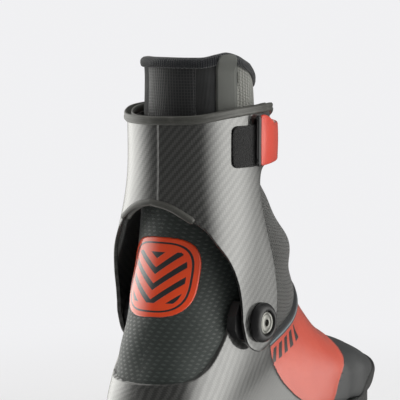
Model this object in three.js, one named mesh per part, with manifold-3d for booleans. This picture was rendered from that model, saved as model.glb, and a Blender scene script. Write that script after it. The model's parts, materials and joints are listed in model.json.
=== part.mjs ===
// A cross-country skating boot for the right foot. A carbon sole frame carries a heel cup and two
// ears; a soft upper stands in it; a carbon cuff swings on the ears and closes with a strap; a
// rubber sole with a toe bar clips into the ski binding.
// Millimetres. +X points to the toe, +Y to the inner side of the foot, +Z up. The origin is on the
// ground under the middle of the boot.
import * as THREE from "three";
import { mergeVertices } from "three/addons/utils/BufferGeometryUtils.js";
import Module from "manifold-3d";

const wasm = await Module();
wasm.setup();

// ---------------------------------------------------------------- driving dimensions

const bootLength = 288;
const heelToPivot = 77; // back of the heel to the cuff's pivot axis
const pivotHeight = 92;
const pivotBack = 3; // the pivot axis lies this far behind the ankle's middle line
const pivotRise = 4; // and this far above the level the forms are measured from
const shaftHeight = 262; // top of the soft collar
const ankleHalfWidth = 41.5; // of the soft upper at the pivot
const gap = 0.3; // between pieces that touch

const upperBottom = 17; // where the soft upper meets the sole
const upperWall = 5.5; // padding round the ankle and the heel
const coverWall = 1.6; // thin front cover over the lacing
const splitRadius = 95; // the collar parts from the upper on this arc about the pivot
const laceDiameter = 1.8;
const laceRuns = 6;
const footbedThickness = 4;

const frameWall = 2.4; // carbon of the sole frame's cup and ears
const earRadius = 16;
const heelCupHeight = 56;
const treadThickness = 7;
const bindingGrooveWidth = 7;
const toeBarRadius = 1.9;
const toeBarInset = 13; // from the tip of the boot

const cuffWall = 2.4;
const armRadius = 18.5; // round lower end of each cuff arm
const rimHeight = 223; // top edge of the cuff at the back
const trimRadius = 2.5; // rubber edging of the cuff
const spacerThickness = 2.8;
const boreRadius = 5.5; // hole in the arm
const screwRadius = 2.9;
const screwHeadRadius = 7.6;
const capRadius = 13;
const capHeight = 6.2;
const nutRadius = 8;
const nutThickness = 1.8;

const strapWidth = 33;
const strapThickness = 2.2;
const strapBottom = 192.5; // lower edge of the strap at its free end
const strapNeck = 25; // its width past the wide free end
const strapRise = 3; // the strap climbs this much on its way round the front
const hookThickness = 0.9;

// ---------------------------------------------------------------- helpers

const { PI, abs, cos, sin, sqrt, hypot } = Math;
const pivotX = -bootLength / 2 + heelToPivot;
const ankleX = pivotX + pivotBack;
const ankleHeight = pivotHeight - pivotRise;
const heelReach = heelToPivot + pivotBack; // ankle's middle line to the back of the heel
const toeReach = bootLength - heelReach; // and to the tip of the toe
const degrees = PI / 180;

// A smooth curve through [position, value] stations, its slopes taken from the neighbours.
function through(stations) {
  const slope = stations.map((_, i) => {
    const a = stations[Math.max(i - 1, 0)];
    const b = stations[Math.min(i + 1, stations.length - 1)];
    return (b[1] - a[1]) / (b[0] - a[0]);
  });
  return (t) => {
    let i = stations.findIndex((s) => s[0] >= t);
    if (i < 0) i = stations.length - 1;
    i = Math.max(i, 1);
    const [x0, y0] = stations[i - 1];
    const [x1, y1] = stations[i];
    const h = x1 - x0;
    const s = Math.min(Math.max((t - x0) / h, 0), 1);
    return (
      y0 * (1 + 2 * s) * (1 - s) ** 2 +
      slope[i - 1] * h * s * (1 - s) ** 2 +
      y1 * s * s * (3 - 2 * s) +
      slope[i] * h * s * s * (s - 1)
    );
  };
}

// One smooth curve for each column of a table, over the row number.
function columns(table) {
  return table[0].map((_, k) => through(table.map((row, i) => [i, row[k]])));
}

function solidOf(geometry) {
  const bare = geometry.index ? geometry.toNonIndexed() : geometry.clone();
  for (const name of ["normal", "uv"]) bare.deleteAttribute(name);
  const merged = mergeVertices(bare, 1e-3);
  return new wasm.Manifold(
    new wasm.Mesh({
      numProp: 3,
      vertProperties: merged.attributes.position.array,
      triVerts: new Uint32Array(merged.index.array),
    }),
  );
}

function geometryOf(solid) {
  const mesh = solid.getMesh();
  const geometry = new THREE.BufferGeometry();
  geometry.setAttribute("position", new THREE.BufferAttribute(mesh.vertProperties, 3));
  geometry.setIndex(new THREE.BufferAttribute(mesh.triVerts, 1));
  geometry.computeVertexNormals();
  return geometry;
}

// A solid from bare points and triangles, turned inside out if its faces point inwards.
function closed(position, index) {
  const geometry = new THREE.BufferGeometry();
  geometry.setAttribute("position", new THREE.Float32BufferAttribute(position, 3));
  geometry.setIndex(index);
  const solid = solidOf(geometry);
  if (solid.volume() > 0) return solid;
  for (let i = 0; i < index.length; i += 3) [index[i], index[i + 1]] = [index[i + 1], index[i]];
  geometry.setIndex(index);
  return solidOf(geometry);
}

// A closed solid from rings of points, capped at both ends.
function loft(rings) {
  const count = rings[0].length;
  const position = rings.flat().flatMap((p) => [p.x, p.y, p.z]);
  const index = [];
  for (let i = 0; i < rings.length - 1; i++)
    for (let j = 0; j < count; j++) {
      const a = i * count + j;
      const b = i * count + ((j + 1) % count);
      index.push(a, b, a + count, b, b + count, a + count);
    }
  const last = (rings.length - 1) * count;
  for (let j = 1; j < count - 1; j++) {
    index.push(0, j + 1, j);
    index.push(last, last + j, last + j + 1);
  }
  return closed(position, index);
}

// A closed sheet: outer(u, v) and inner(u, v) on a grid, joined round their edges.
function sheet(outer, inner, across, along) {
  const position = [];
  for (const face of [outer, inner])
    for (let i = 0; i <= across; i++)
      for (let j = 0; j <= along; j++) {
        const p = face(i / across, j / along);
        position.push(p.x, p.y, p.z);
      }
  const row = along + 1;
  const half = (across + 1) * row;
  const index = [];
  const quad = (a, b, c, d) => index.push(a, b, c, a, c, d);
  for (let i = 0; i < across; i++)
    for (let j = 0; j < along; j++) {
      const a = i * row + j;
      quad(a, a + row, a + row + 1, a + 1);
      quad(half + a, half + a + 1, half + a + row + 1, half + a + row);
    }
  for (let i = 0; i < across; i++) {
    const a = i * row;
    quad(a, half + a, half + a + row, a + row);
    quad(a + along, a + row + along, half + a + row + along, half + a + along);
  }
  for (let j = 0; j < along; j++) {
    quad(j, j + 1, half + j + 1, half + j);
    const a = across * row + j;
    quad(a, half + a, half + a + 1, a + 1);
  }
  return closed(position, index);
}

// A side-view outline of [x from the pivot, z] points, pushed through the boot's whole width.
function sideCut(points, from = -90, to = 90) {
  const shape = new THREE.Shape(points.map(([x, z]) => new THREE.Vector2(x + ankleX, z)));
  const geometry = new THREE.ExtrudeGeometry(shape, { depth: to - from, bevelEnabled: false });
  geometry.rotateX(PI / 2);
  geometry.translate(0, to, 0);
  return solidOf(geometry);
}

// A strip of even width along a side-view line.
function stripCut(line, width, shift = 0, from = -90, to = 90) {
  const side = (offset) =>
    line.map(([x, z], i) => {
      const [x0, z0] = line[Math.max(i - 1, 0)];
      const [x1, z1] = line[Math.min(i + 1, line.length - 1)];
      const length = hypot(x1 - x0, z1 - z0);
      return [x - ((z1 - z0) / length) * offset, z + ((x1 - x0) / length) * offset];
    });
  return sideCut([...side(shift - width / 2), ...side(shift + width / 2).reverse()], from, to);
}

// A turned piece on the pivot axis. The profile gives [radius, distance from the middle of the boot].
function turned(profile, side, segments = 18) {
  const points = profile.map(([r, y]) => new THREE.Vector2(r, y));
  const geometry = new THREE.LatheGeometry([...points, points[0]], segments);
  if (side < 0) geometry.rotateX(PI);
  geometry.translate(pivotX, 0, pivotHeight);
  return solidOf(geometry);
}

const disc = (radius, from, to) => [[0, from], [radius, from], [radius, to], [0, to]];
const ring = (inner, outer, from, to) => [[inner, from], [outer, from], [outer, to], [inner, to]];

// A rod of even section along a smooth line of points.
function rod(points, radius, steps, sides = 8) {
  const curve = new THREE.CatmullRomCurve3(points);
  const section = new THREE.Shape(
    Array.from({ length: sides }, (_, i) => {
      const a = ((i + 0.5) / sides) * 2 * PI;
      return new THREE.Vector2(radius * cos(a), radius * sin(a));
    }),
  );
  return solidOf(new THREE.ExtrudeGeometry(section, { steps, extrudePath: curve }));
}

// ---------------------------------------------------------------- soft upper's outer form

// The upper is a run of flat sections, each spanning from a rear or bottom point to a front or top
// point of the side profile. Columns: rear x, rear z, front x, front z, half width, y of the middle,
// squareness of the rear half. x is measured from the pivot axis.
const shaft = (share) => ankleHeight + share * (shaftHeight - ankleHeight);
const foot = (share) => share * toeReach;
const upperTable = [
  [-36.5, shaft(1.08), 32.5, shaft(1.06), 35, 0, 2],
  [-37.5, shaft(0.83), 36, shaft(0.84), 35.5, 0, 2],
  [-40, shaft(0.6), 41, shaft(0.64), 36, 0, 2],
  [-42.5, shaft(0.41), 54, shaft(0.475), 37, 0, 2],
  [-48, shaft(0.24), 71, shaft(0.37), 39.5, 0, 2],
  [-55, shaft(0.11), 81, shaft(0.28), ankleHalfWidth, 0, 2],
  [-62, 84, 87.5, shaft(0.19), ankleHalfWidth, 0, 2.1],
  [-69, 55, 92.5, shaft(0.13), ankleHalfWidth - 0.6, 0, 2.4],
  [-73, 34, 99, 102, ankleHalfWidth - 2, 0, 3],
  [-60, upperBottom, 106, 93, ankleHalfWidth - 4, 0, 4.5],
  [-20, upperBottom, foot(0.545), 84, ankleHalfWidth - 4, 0, 6],
  [30, upperBottom, foot(0.585), 75, 40, 1, 6],
  [80, upperBottom, foot(0.65), 66.5, 44, 3, 6],
  [foot(0.59), upperBottom, foot(0.745), 59.5, 45, 4, 6],
  [foot(0.76), upperBottom + 1, foot(0.84), 52, 41, 6, 5],
  [foot(0.905), upperBottom + 4, foot(0.925), 42, 28, 8, 3],
  [foot(0.965), upperBottom + 9, foot(0.967), 34, 12, 9, 2.4],
];
const [rearX, rearZ, frontX, frontZ, halfWidth, middleY, rearSquareness] = columns(upperTable);
const lastStation = upperTable.length - 1;

// A point of the upper at station t, at an angle round the section from the front towards the inner
// side, grown outwards by `grow`.
function upperPoint(t, angle, grow = 0) {
  const rear = new THREE.Vector3(ankleX + rearX(t), 0, rearZ(t));
  const front = new THREE.Vector3(ankleX + frontX(t), 0, frontZ(t));
  const along = front.clone().sub(rear);
  const half = along.length() / 2 + grow;
  const c = cos(angle);
  const s = sin(angle);
  const n = c < 0 ? rearSquareness(t) : 2;
  const r = (abs(c) ** n + abs(s) ** n) ** (-1 / n);
  const point = rear.add(front).multiplyScalar(0.5);
  point.addScaledVector(along.normalize(), r * c * half);
  point.x += grow * Math.max(0, t - lastStation + 1);
  point.y = middleY(t) + r * s * (halfWidth(t) + grow);
  return point;
}

const loftSteps = 22;

function upperLoft(grow, steps = loftSteps, count = 24, from = 0, to = lastStation) {
  const rings = Array.from({ length: steps + 1 }, (_, i) =>
    Array.from({ length: count }, (_, j) =>
      upperPoint(from + ((to - from) * i) / steps, (j / count) * 2 * PI, grow),
    ),
  );
  return loft(rings);
}

// A point of the upper's lofted face, on the straight between two of its rings.
function loftPoint(t, angle, grow) {
  const ring = (t / lastStation) * loftSteps;
  const before = upperPoint((Math.floor(ring) / loftSteps) * lastStation, angle, grow);
  const after = upperPoint(((Math.floor(ring) + 1) / loftSteps) * lastStation, angle, grow);
  return before.lerp(after, ring - Math.floor(ring));
}

// ---------------------------------------------------------------- cuff's outer form

const earFace = ankleHalfWidth + gap + frameWall;
const spacerFace = earFace + gap + spacerThickness;
const armInside = spacerFace + gap;
const armOutside = armInside + cuffWall;

// Level sections: height, half length, half width, squareness.
const cuffTable = [
  [ankleHeight - 30, 57, armOutside + 0.1, 4],
  [ankleHeight + 24, 57, armOutside + 0.1, 4],
  [ankleHeight + 42, 57, armOutside - 0.8, 3.2],
  [ankleHeight + 62, 56, armOutside - 3.4, 2.5],
  [ankleHeight + 84, 54.5, armOutside - 6.6, 2.2],
  [ankleHeight + 104, 53.5, armOutside - 8.2, 2.1],
  [rimHeight, 53.5, armOutside - 8.2, 2.1],
  [rimHeight + 15, 54, armOutside - 8, 2.1],
];
const [cuffLength, cuffWidth, cuffSquareness] = [1, 2, 3].map((k) =>
  through(cuffTable.map((row) => [row[0], row[k]])),
);

// A point of the cuff's outer face at an angle from the back, towards the inner side.
function cuffPoint(angle, z, out = 0) {
  const n = cuffSquareness(z);
  const c = -cos(angle);
  const s = sin(angle);
  const r = (abs(c) ** n + abs(s) ** n) ** (-1 / n);
  return new THREE.Vector3(ankleX + r * c * (cuffLength(z) + out), r * s * (cuffWidth(z) + out), z);
}

// Half of the cuff's cut line from the middle of the back, over the heel arch, round the arm and up
// to the front of the wing. Columns: angle of the lower edge, its height above the pivot, angle of
// the rim point that it is joined to. One degree is close to one millimetre of arm.
const armCorner = armRadius * sqrt(0.5);
const armTurn = armRadius / (57 * degrees);
const cornerTurn = armCorner / (57 * degrees);
const armAngle = 90 - pivotBack / (57 * degrees);
const cuffEdgeTable = [
  [0, 84, 0],
  [17, 81, 16],
  [32, 74, 30],
  [44, 66, 41],
  [51, 57, 49],
  [58, 47, 55],
  [62.5, 37, 59],
  [66, 24, 62],
  [67.5, 13, 65],
  [armAngle - armTurn, pivotRise, 67],
  [armAngle - cornerTurn, pivotRise - armCorner, 69],
  [armAngle, pivotRise - armRadius, 71.5],
  [armAngle + cornerTurn, pivotRise - armCorner, 74],
  [armAngle + armTurn, pivotRise, 76.5],
  [107, 17, 79],
  [105.5, 31, 81.5],
  [103.5, 45, 84],
  [101, 60, 86.5],
  [99, 76, 89.5],
  [99, 92, 93],
  [103, strapBottom - ankleHeight - 3, 98],
  [113, strapBottom - ankleHeight + 1, 112],
  [127, strapBottom - ankleHeight + 2, 127],
  [140, strapBottom - ankleHeight + 5, 139],
  [146, strapBottom - ankleHeight + 12, 146],
];
const [edgeAngle, edgeRise, rimAngle] = columns(cuffEdgeTable);
const lastEdge = cuffEdgeTable.length - 1;
const rimZ = through([
  [0, rimHeight - 1], [40, rimHeight], [70, rimHeight + 3.5], [100, rimHeight + 5], [125, rimHeight + 5],
  [146, rimHeight],
]);

// Where the cuff's sheet is at (u, v): u runs from the outer wing (0) round the back to the inner
// wing (1), v from the lower edge to the rim.
function cuffPlace(u, v) {
  const side = u < 0.5 ? -1 : 1;
  const row = abs(2 * u - 1) * lastEdge;
  const angle = edgeAngle(row) * (1 - v) + rimAngle(row) * v;
  const z = (ankleHeight + edgeRise(row)) * (1 - v) + rimZ(rimAngle(row)) * v;
  return [side * angle * degrees, z];
}

// ---------------------------------------------------------------- the boot

const boot = new THREE.Group();

function add(name, solid, color, roughness = 0.8, metalness = 0) {
  const material = new THREE.MeshStandardMaterial({ color, roughness, metalness });
  const mesh = new THREE.Mesh(geometryOf(solid), material);
  mesh.name = name;
  boot.add(mesh);
}

const black = 0x1b1c1e;
const charcoal = 0x34363a;
const fabricGrey = 0x6b6d69;
const navy = 0x20242c;
const red = 0xd8321c;
const steel = 0xb9b9b4;
const carbon = 0x242526;
const sides = [["inner", 1], ["outer", -1]];

// ---------------------------------------------------------------- sole

// Half width of the sole, its middle line and the rise of its toe over x from the pivot.
const soleHalf = through([
  [-heelReach, 9], [-heelReach + 5, 20], [-62, 29], [-45, 33.5], [0, 34.5], [40, 37],
  [foot(0.4), 42.5], [foot(0.54), 45.5], [foot(0.68), 44.5], [foot(0.79), 39], [foot(0.88), 30],
  [foot(0.95), 19], [toeReach, 7],
]);
const soleMiddle = through([[0, 0], [40, 1], [80, 3], [foot(0.6), 4.5], [foot(0.85), 7], [toeReach, 9]]);
const toeSpring = through([[foot(0.56), 0], [foot(0.74), 1.2], [foot(0.88), 4], [toeReach, 9]]);

// A layer of the sole from x0 to x1: bottom and top heights over x, its edge inset, upper and lower
// edges chamfered.
function soleLayer(x0, x1, bottom, top, inset, chamfer, steps = 16) {
  const rings = Array.from({ length: steps + 1 }, (_, i) => {
    const x = x0 + ((x1 - x0) * i) / steps;
    const half = soleHalf(x) - inset;
    const z0 = bottom(x);
    const z1 = top(x);
    const outline = [
      [-half + chamfer, z0], [half - chamfer, z0], [half, z0 + chamfer], [half, z1 - chamfer],
      [half - chamfer, z1], [-half + chamfer, z1], [-half, z1 - chamfer], [-half, z0 + chamfer],
    ];
    return outline.map(([y, z]) => new THREE.Vector3(ankleX + x, soleMiddle(x) + y, z));
  });
  return loft(rings);
}

function block(x0, x1, y0, y1, z0, z1) {
  const geometry = new THREE.BoxGeometry(x1 - x0, y1 - y0, z1 - z0);
  geometry.translate(ankleX + (x0 + x1) / 2, (y0 + y1) / 2, (z0 + z1) / 2);
  return solidOf(geometry);
}

// Toe bar across the front of the sole, in a plastic housing set into the tread.
const barX = toeReach - toeBarInset;
const barY = soleMiddle(barX);
const barZ = toeSpring(barX) + 4.2;
const housingHalf = 13;
const housingLength = 19;
const slotHalf = 7.5;
const housingTop = toeSpring(toeReach) + treadThickness;
const barRod = (radius, half) => {
  const geometry = new THREE.CylinderGeometry(radius, radius, 2 * half, 16);
  geometry.translate(ankleX + barX, barY, barZ);
  return solidOf(geometry);
};
const housingBlock = (grow) =>
  block(barX - housingLength / 2 - grow, toeReach + 5, barY - housingHalf - grow,
    barY + housingHalf + grow, -5, housingTop + grow);
const treadBottom = (x) => toeSpring(x);
const treadTop = (x) => toeSpring(x) + treadThickness;
const plateBottom = (x) => toeSpring(x) + treadThickness + gap;
const plateTop = (x) => toeSpring(x) + upperBottom + 2;

const bindingGrooves = [-1, 1].map((side) => {
  const y = soleMiddle(foot(0.6)) + side * 16;
  return block(foot(0.34), foot(0.8), y - bindingGrooveWidth / 2, y + bindingGrooveWidth / 2, -2, 4.5);
});
const treadSlots = (from, to, count, y0, y1, depth) =>
  Array.from({ length: count }, (_, i) => {
    const x = from + ((to - from) * (i + 0.5)) / count;
    return block(x - 1.6, x + 1.6, y0, y1, -2, depth);
  });
const cut = (solid, tools) => tools.reduce((s, tool) => s.subtract(tool), solid);

const forefootTread = cut(
  soleLayer(foot(0.3), toeReach, treadBottom, treadTop, 1, 1.5),
  [
    ...bindingGrooves,
    ...treadSlots(foot(0.34), foot(0.78), 6, 27, 90, 3.2),
    ...treadSlots(foot(0.34), foot(0.78), 6, -90, -18, 3.2),
    housingBlock(gap),
  ],
);
add("outsole_forefoot", forefootTread, charcoal, 0.85);
const heelTread = cut(soleLayer(-heelReach, -12, treadBottom, treadTop, 1, 1.5, 10), [
  ...treadSlots(-72, -18, 4, 14, 90, 3.2),
  ...treadSlots(-72, -18, 4, -90, -14, 3.2),
  block(-90, 0, -5, 5, -2, 4.5),
]);
add("outsole_heel", heelTread, charcoal, 0.85);
const housing = soleLayer(foot(0.7), toeReach, treadBottom, treadTop, 1, 1.5)
  .intersect(housingBlock(0))
  .subtract(block(barX - 5.5, barX + 5.5, barY - slotHalf, barY + slotHalf, -6, barZ + 2.6))
  .subtract(barRod(toeBarRadius + gap, housingHalf - 1.2));
add("toe_bar_housing", housing, black, 0.5);
add("toe_bar", barRod(toeBarRadius, housingHalf - 1.5), steel, 0.3, 1);

// ---------------------------------------------------------------- sole frame

// Side outline of the frame's cup and ears, from the heel to the waist of the boot.
const earArc = (from, to, count, radius = earRadius) =>
  Array.from({ length: count + 1 }, (_, i) => {
    const a = (from + ((to - from) * i) / count) * degrees;
    return [radius * cos(a) - pivotBack, pivotHeight + radius * sin(a)];
  });
const frameOutline = [
  [-100, 5], [-100, heelCupHeight - 2], [-70, heelCupHeight], [-52, heelCupHeight + 3],
  [-37, heelCupHeight + 14], ...earArc(155, 20, 9), [24, 70], [34, 54], [48, 40], [66, 29], [90, 23],
  [foot(0.62), upperBottom + 1], [toeReach + 10, upperBottom + 1], [toeReach + 10, 5],
];
const solePlate = soleLayer(-heelReach, toeReach, plateBottom, plateTop, 0, 1.2, 20);
const pivotHoles = sides.map(([, side]) => turned(disc(screwRadius + gap, 30, 70), side));
const frameCup = upperLoft(gap + frameWall).intersect(sideCut(frameOutline));
const soleFrame = cut(solePlate.add(frameCup), [upperLoft(gap), ...pivotHoles]);
const framePieces = soleFrame.decompose().sort((a, b) => b.volume() - a.volume());
add("sole_frame", framePieces[0], carbon, 0.2);

// ---------------------------------------------------------------- soft upper

// The line that parts the collar, which follows the cuff, from the upper, which stays on the frame.
const aboveArc = (radius) => {
  const arc = Array.from({ length: 28 }, (_, i) => {
    const a = (150 - i * 5) * degrees;
    return [radius * cos(a) - pivotBack, pivotHeight + radius * sin(a)];
  });
  const [endX, endZ] = arc[arc.length - 1];
  const spare = 3 * (splitRadius - radius); // a smaller arc also clears more in front
  const top = pivotHeight + 2 * radius + 60;
  return sideCut([
    ...arc, [endX + spare, endZ], [1.5 * splitRadius + spare, top], [-radius - 2 * pivotBack, top],
  ]);
};

const upperSolid = upperLoft(0);
const inside = (grow) => upperLoft(grow - upperWall, 20, 18, -0.2, lastStation - 0.9);
const wholeUpper = upperSolid.subtract(inside(0));

// Seams of the lower upper in side view: behind the ankle bone, over the instep, round the toes.
const armSeam = [[4, shaft(0.6)], [4, 150], [3, 120], [8, 88], [18, 72], [30, 50], [44, 10]];
const instepSeam = [
  [18, 72], [30, 76], [48, 81], [64, 86], [77, 93], [86, 101], [98, 116],
];
const toeSeam = [
  [foot(0.5), 10], [foot(0.54), 34], [foot(0.6), 50], [foot(0.67), 62], [foot(0.7), 80],
];
const seamStrips = [armSeam, instepSeam, toeSeam].map((line) => stripCut(line, gap));

// Under the front cover: lacing over a tongue, between two rows of lace loops.
const throatHalf = 24;
const throatOutline = [
  [46, shaft(0.36)], [72, shaft(0.36)], [foot(0.625), 70], [foot(0.6), 54], [foot(0.44), 54], [60, 84],
];
const throatCut = (half, from, to, grow = 0) => {
  const middle = throatOutline.reduce(([x, z], [u, w]) => [x + u / 6, z + w / 6], [0, 0]);
  const outline = throatOutline.map(([x, z]) => {
    const reach = hypot(x - middle[0], z - middle[1]);
    return [x + ((x - middle[0]) * grow) / reach, z + ((z - middle[1]) * grow) / reach];
  });
  const layer = upperLoft(from).subtract(upperLoft(to)).intersect(sideCut(outline, -half, half));
  return layer.subtract(aboveArc(splitRadius - 2 * gap));
};
const throat = throatCut(throatHalf, -coverWall, -upperWall - 2);

const nutInside = 0.955 * ankleHalfWidth - nutThickness; // the upper's side curves away behind the nut
const nutPockets = sides.map(([, side]) =>
  turned(disc(nutRadius + gap, nutInside - gap, ankleHalfWidth + 5), side),
);
const lowerUpper = cut(wholeUpper, [aboveArc(splitRadius - 2 * gap), throat, ...nutPockets]);
const middleX = (piece) => piece.boundingBox().min[0] + piece.boundingBox().max[0];
const lowerPieces = cut(lowerUpper, seamStrips)
  .decompose()
  .filter((piece) => piece.volume() > 100)
  .sort((a, b) => middleX(a) - middleX(b));
const lowerNames = ["heel_upper", "instep_cover", "front_gaiter", "toe_upper"];
const lowerColours = [black, fabricGrey, red, charcoal];
lowerPieces.forEach((piece, i) => add(lowerNames[i], piece, lowerColours[i], 0.85));

const tongueHalf = 12;
const laceDepth = coverWall + gap + laceDiameter / 2;
const underLace = coverWall + laceDiameter + 6 * gap;
const biggest = (solid) => solid.decompose().sort((a, b) => b.volume() - a.volume())[0];
add("tongue", biggest(throatCut(tongueHalf, -underLace, -upperWall - 1.5, -1)), fabricGrey, 0.9);
for (const [name, side] of sides) {
  const stay = throatCut(throatHalf - gap, -underLace, -upperWall, -1).intersect(
    block(-20, toeReach, ...(side > 0 ? [tongueHalf + gap, 60] : [-60, -tongueHalf - gap]), 0, 200),
  );
  add("lace_stay_" + name, biggest(stay), black, 0.85);
}

// The lace crosses from row to row inside its pocket, from under the arc down to the toes.
const arcEndHeight = pivotHeight + splitRadius * sin(15 * degrees);
const clearOfArc = (t) =>
  hypot(frontX(t) + pivotBack, frontZ(t) - pivotHeight) < splitRadius + 0.5 || frontZ(t) < arcEndHeight;
const laceTop = Array.from({ length: 60 }, (_, i) => 5.75 + 0.05 * i).find(clearOfArc);
const laceLow = 10.45;
const lacePoints = [];
for (let i = 0; i < laceRuns; i++)
  for (let k = 0; k < 5; k++) {
    const across = (k / 4) * 2 - 1;
    const angle = 0.4 * across * (i % 2 ? 1 : -1);
    const t = laceTop + ((i + 0.16 * k) / laceRuns) * (laceLow - laceTop);
    lacePoints.push(loftPoint(t, angle, -laceDepth - 3.5 * gap));
  }
add("lace", rod(lacePoints, laceDiameter / 2, 84, 5), black, 0.9);

// Insole board and footbed lie in the bottom of the upper.
const boardTop = upperBottom + upperWall + 1;
const insoleLayer = (low, high) => biggest(inside(-gap).intersect(block(-90, toeReach, -60, 60, low, high)));
add("insole_board", insoleLayer(0, boardTop), 0x8a7a60, 0.9);
add("footbed", insoleLayer(boardTop + gap, boardTop + gap + footbedThickness), navy, 0.95);

// ---------------------------------------------------------------- skins on the upper

const skin = (thickness) => upperLoft(gap + thickness).subtract(upperLoft(gap));
const instepTape = skin(0.9).intersect(stripCut(instepSeam.slice(0, 6), 5, -3.2)).subtract(
  upperLoft(2 * gap + frameWall).intersect(sideCut(frameOutline)),
);
add("seam_tape", biggest(instepTape), navy, 0.7);

// Zip of the front cover, straight down the crest of the instep.
const zipTop = [96, 106];
const zipEnd = [foot(0.585), 75];
const zipHalf = 5;
const zipSlope = Math.atan2(zipTop[1] - zipEnd[1], zipEnd[0] - zipTop[0]);
const zipOutline = [[90, 108], [100, 125], [150, 85], [zipEnd[0] + 5, zipEnd[1] - 10]];
const zipBox = sideCut(zipOutline, -zipHalf, zipHalf);
add("zip_track", biggest(skin(1).intersect(zipBox).subtract(stripCut(instepSeam, 9, -3.2))), black, 0.6);

// Badge on the back of the heel: a rounded square seen from behind.
const badgeHalf = 25;
const badgeMiddle = ankleHeight + 35;
const badgeShape = new THREE.Shape(
  Array.from({ length: 40 }, (_, i) => {
    const a = (i / 40) * 2 * PI;
    const r = badgeHalf * (abs(cos(a)) ** 3.4 + abs(sin(a)) ** 3.4) ** (-1 / 3.4);
    return new THREE.Vector2(r * cos(a), r * sin(a));
  }),
);
const badgePrism = new THREE.ExtrudeGeometry(badgeShape, { depth: 90, bevelEnabled: false });
badgePrism.rotateX(PI / 2).rotateZ(PI / 2).translate(ankleX - 110, 0, badgeMiddle);
add("heel_badge", biggest(skin(0.9).intersect(solidOf(badgePrism))), 0xf0461c, 0.3);

// Rubber guard round the toe, standing on the frame's plate.
const guardFoot = Array.from({ length: 9 }, (_, i) => {
  const x = foot(0.72 + 0.28 * (i / 8));
  return [x, plateTop(x) + 2 * gap];
});
const guardOutline = [
  ...guardFoot, [toeReach + 20, plateTop(toeReach) + 4], [toeReach + 20, 46], [foot(0.9), 43], [foot(0.8), 36],
];
add("toe_guard", biggest(skin(1.8).intersect(sideCut(guardOutline))), charcoal, 0.7);

// ---------------------------------------------------------------- collar, carried by the cuff

const collarTop = (bump) => [
  [-90, shaftHeight], [-30, shaftHeight], [-22, shaftHeight + 0.6 * bump], [-15, shaftHeight + bump],
  [-6, shaftHeight + 0.6 * bump], [3, shaftHeight - 2.5], [18, shaftHeight - 10.5], [34, shaftHeight - 18],
  [90, shaftHeight - 40],
];
const aboveTop = (rise) => {
  const profile = (bump) => [
    ...collarTop(bump).map(([x, z]) => [x, z + rise]), [90, shaftHeight + 60], [-90, shaftHeight + 60],
  ];
  return sideCut(profile(3.5), -90, 0).add(sideCut(profile(0), -0.001, 90));
};
const collarMiddle = ankleX - 2;
const seamCut = (angle, width) => {
  const geometry = new THREE.BoxGeometry(90, width, 260);
  geometry.translate(45, 0, shaftHeight - 60);
  geometry.rotateZ(angle * degrees);
  geometry.translate(collarMiddle, 0, 0);
  return solidOf(geometry);
};
const bearing = (solid) => {
  const box = solid.boundingBox();
  return Math.atan2((box.min[1] + box.max[1]) / 2, (box.min[0] + box.max[0]) / 2 - collarMiddle) / degrees;
};
const addPanels = (solid, seams, panels, roughness) => {
  const pieces = cut(solid, seams.map((angle) => seamCut(angle, gap))).decompose();
  for (const [name, angle, color] of panels) {
    const off = (piece) => abs(((bearing(piece) - angle + 540) % 360) - 180);
    add(name, pieces.sort((a, b) => off(a) - off(b))[0], color, roughness);
  }
};
const collar = wholeUpper.intersect(aboveArc(splitRadius)).subtract(aboveTop(0));
addPanels(collar, [-147, -125, -97, 97, 125, 147], [
  ["collar_rear", 180, black],
  ["collar_side_inner", 136, black],
  ["collar_side_outer", -136, black],
  ["collar_flex_inner", 111, fabricGrey],
  ["collar_flex_outer", -111, fabricGrey],
  ["tongue_top", 0, 0x9a9b96],
], 0.9);
const bindingDepth = 6.5;
const bindingWall = 0.9;
const bindingShell = upperLoft(gap + bindingWall).subtract(inside(-gap - bindingWall));
const bindingBand = bindingShell.intersect(aboveTop(-bindingDepth)).subtract(aboveTop(gap + bindingWall));
const bindingInside = upperLoft(gap).subtract(inside(-gap)).subtract(aboveTop(gap));
addPanels(bindingBand.subtract(bindingInside), [-97, 97], [
  ["collar_binding", 180, navy],
  ["tongue_binding", 0, navy],
], 0.95);

// ---------------------------------------------------------------- cuff

const cuffSheet = (grow, edge) =>
  sheet(
    (u, v) => cuffPoint(...cuffPlace(u, v * (1 + 2 * edge) - edge), grow),
    (u, v) => cuffPoint(...cuffPlace(u, v * (1 + 2 * edge) - edge), -cuffWall - grow),
    2 * 26,
    5,
  );
const bores = sides.map(([, side]) => turned(disc(boreRadius, armInside - 5, armOutside + 5), side));
const pin = (place, radius, from, to) => {
  const start = cuffPoint(...place, from);
  const end = cuffPoint(...place, to);
  const geometry = new THREE.CylinderGeometry(radius, radius, start.distanceTo(end), 16);
  const run = end.clone().sub(start).normalize();
  geometry.applyQuaternion(new THREE.Quaternion().setFromUnitVectors(new THREE.Vector3(0, 1, 0), run));
  geometry.translate(...start.add(end).multiplyScalar(0.5).toArray());
  return solidOf(geometry);
};
const plateSpan = [108, 124.6];
const anchorAngle = 124.9;
const strapInside = 2.5;
const strapOutside = strapInside + strapThickness;
const strapBulge = (angle) => 3 * Math.max(0, -cos(angle * degrees) - 0.45);
const strapZ = (angle) => strapBottom + strapRise * Math.max(0, -cos(angle * degrees));
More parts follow.
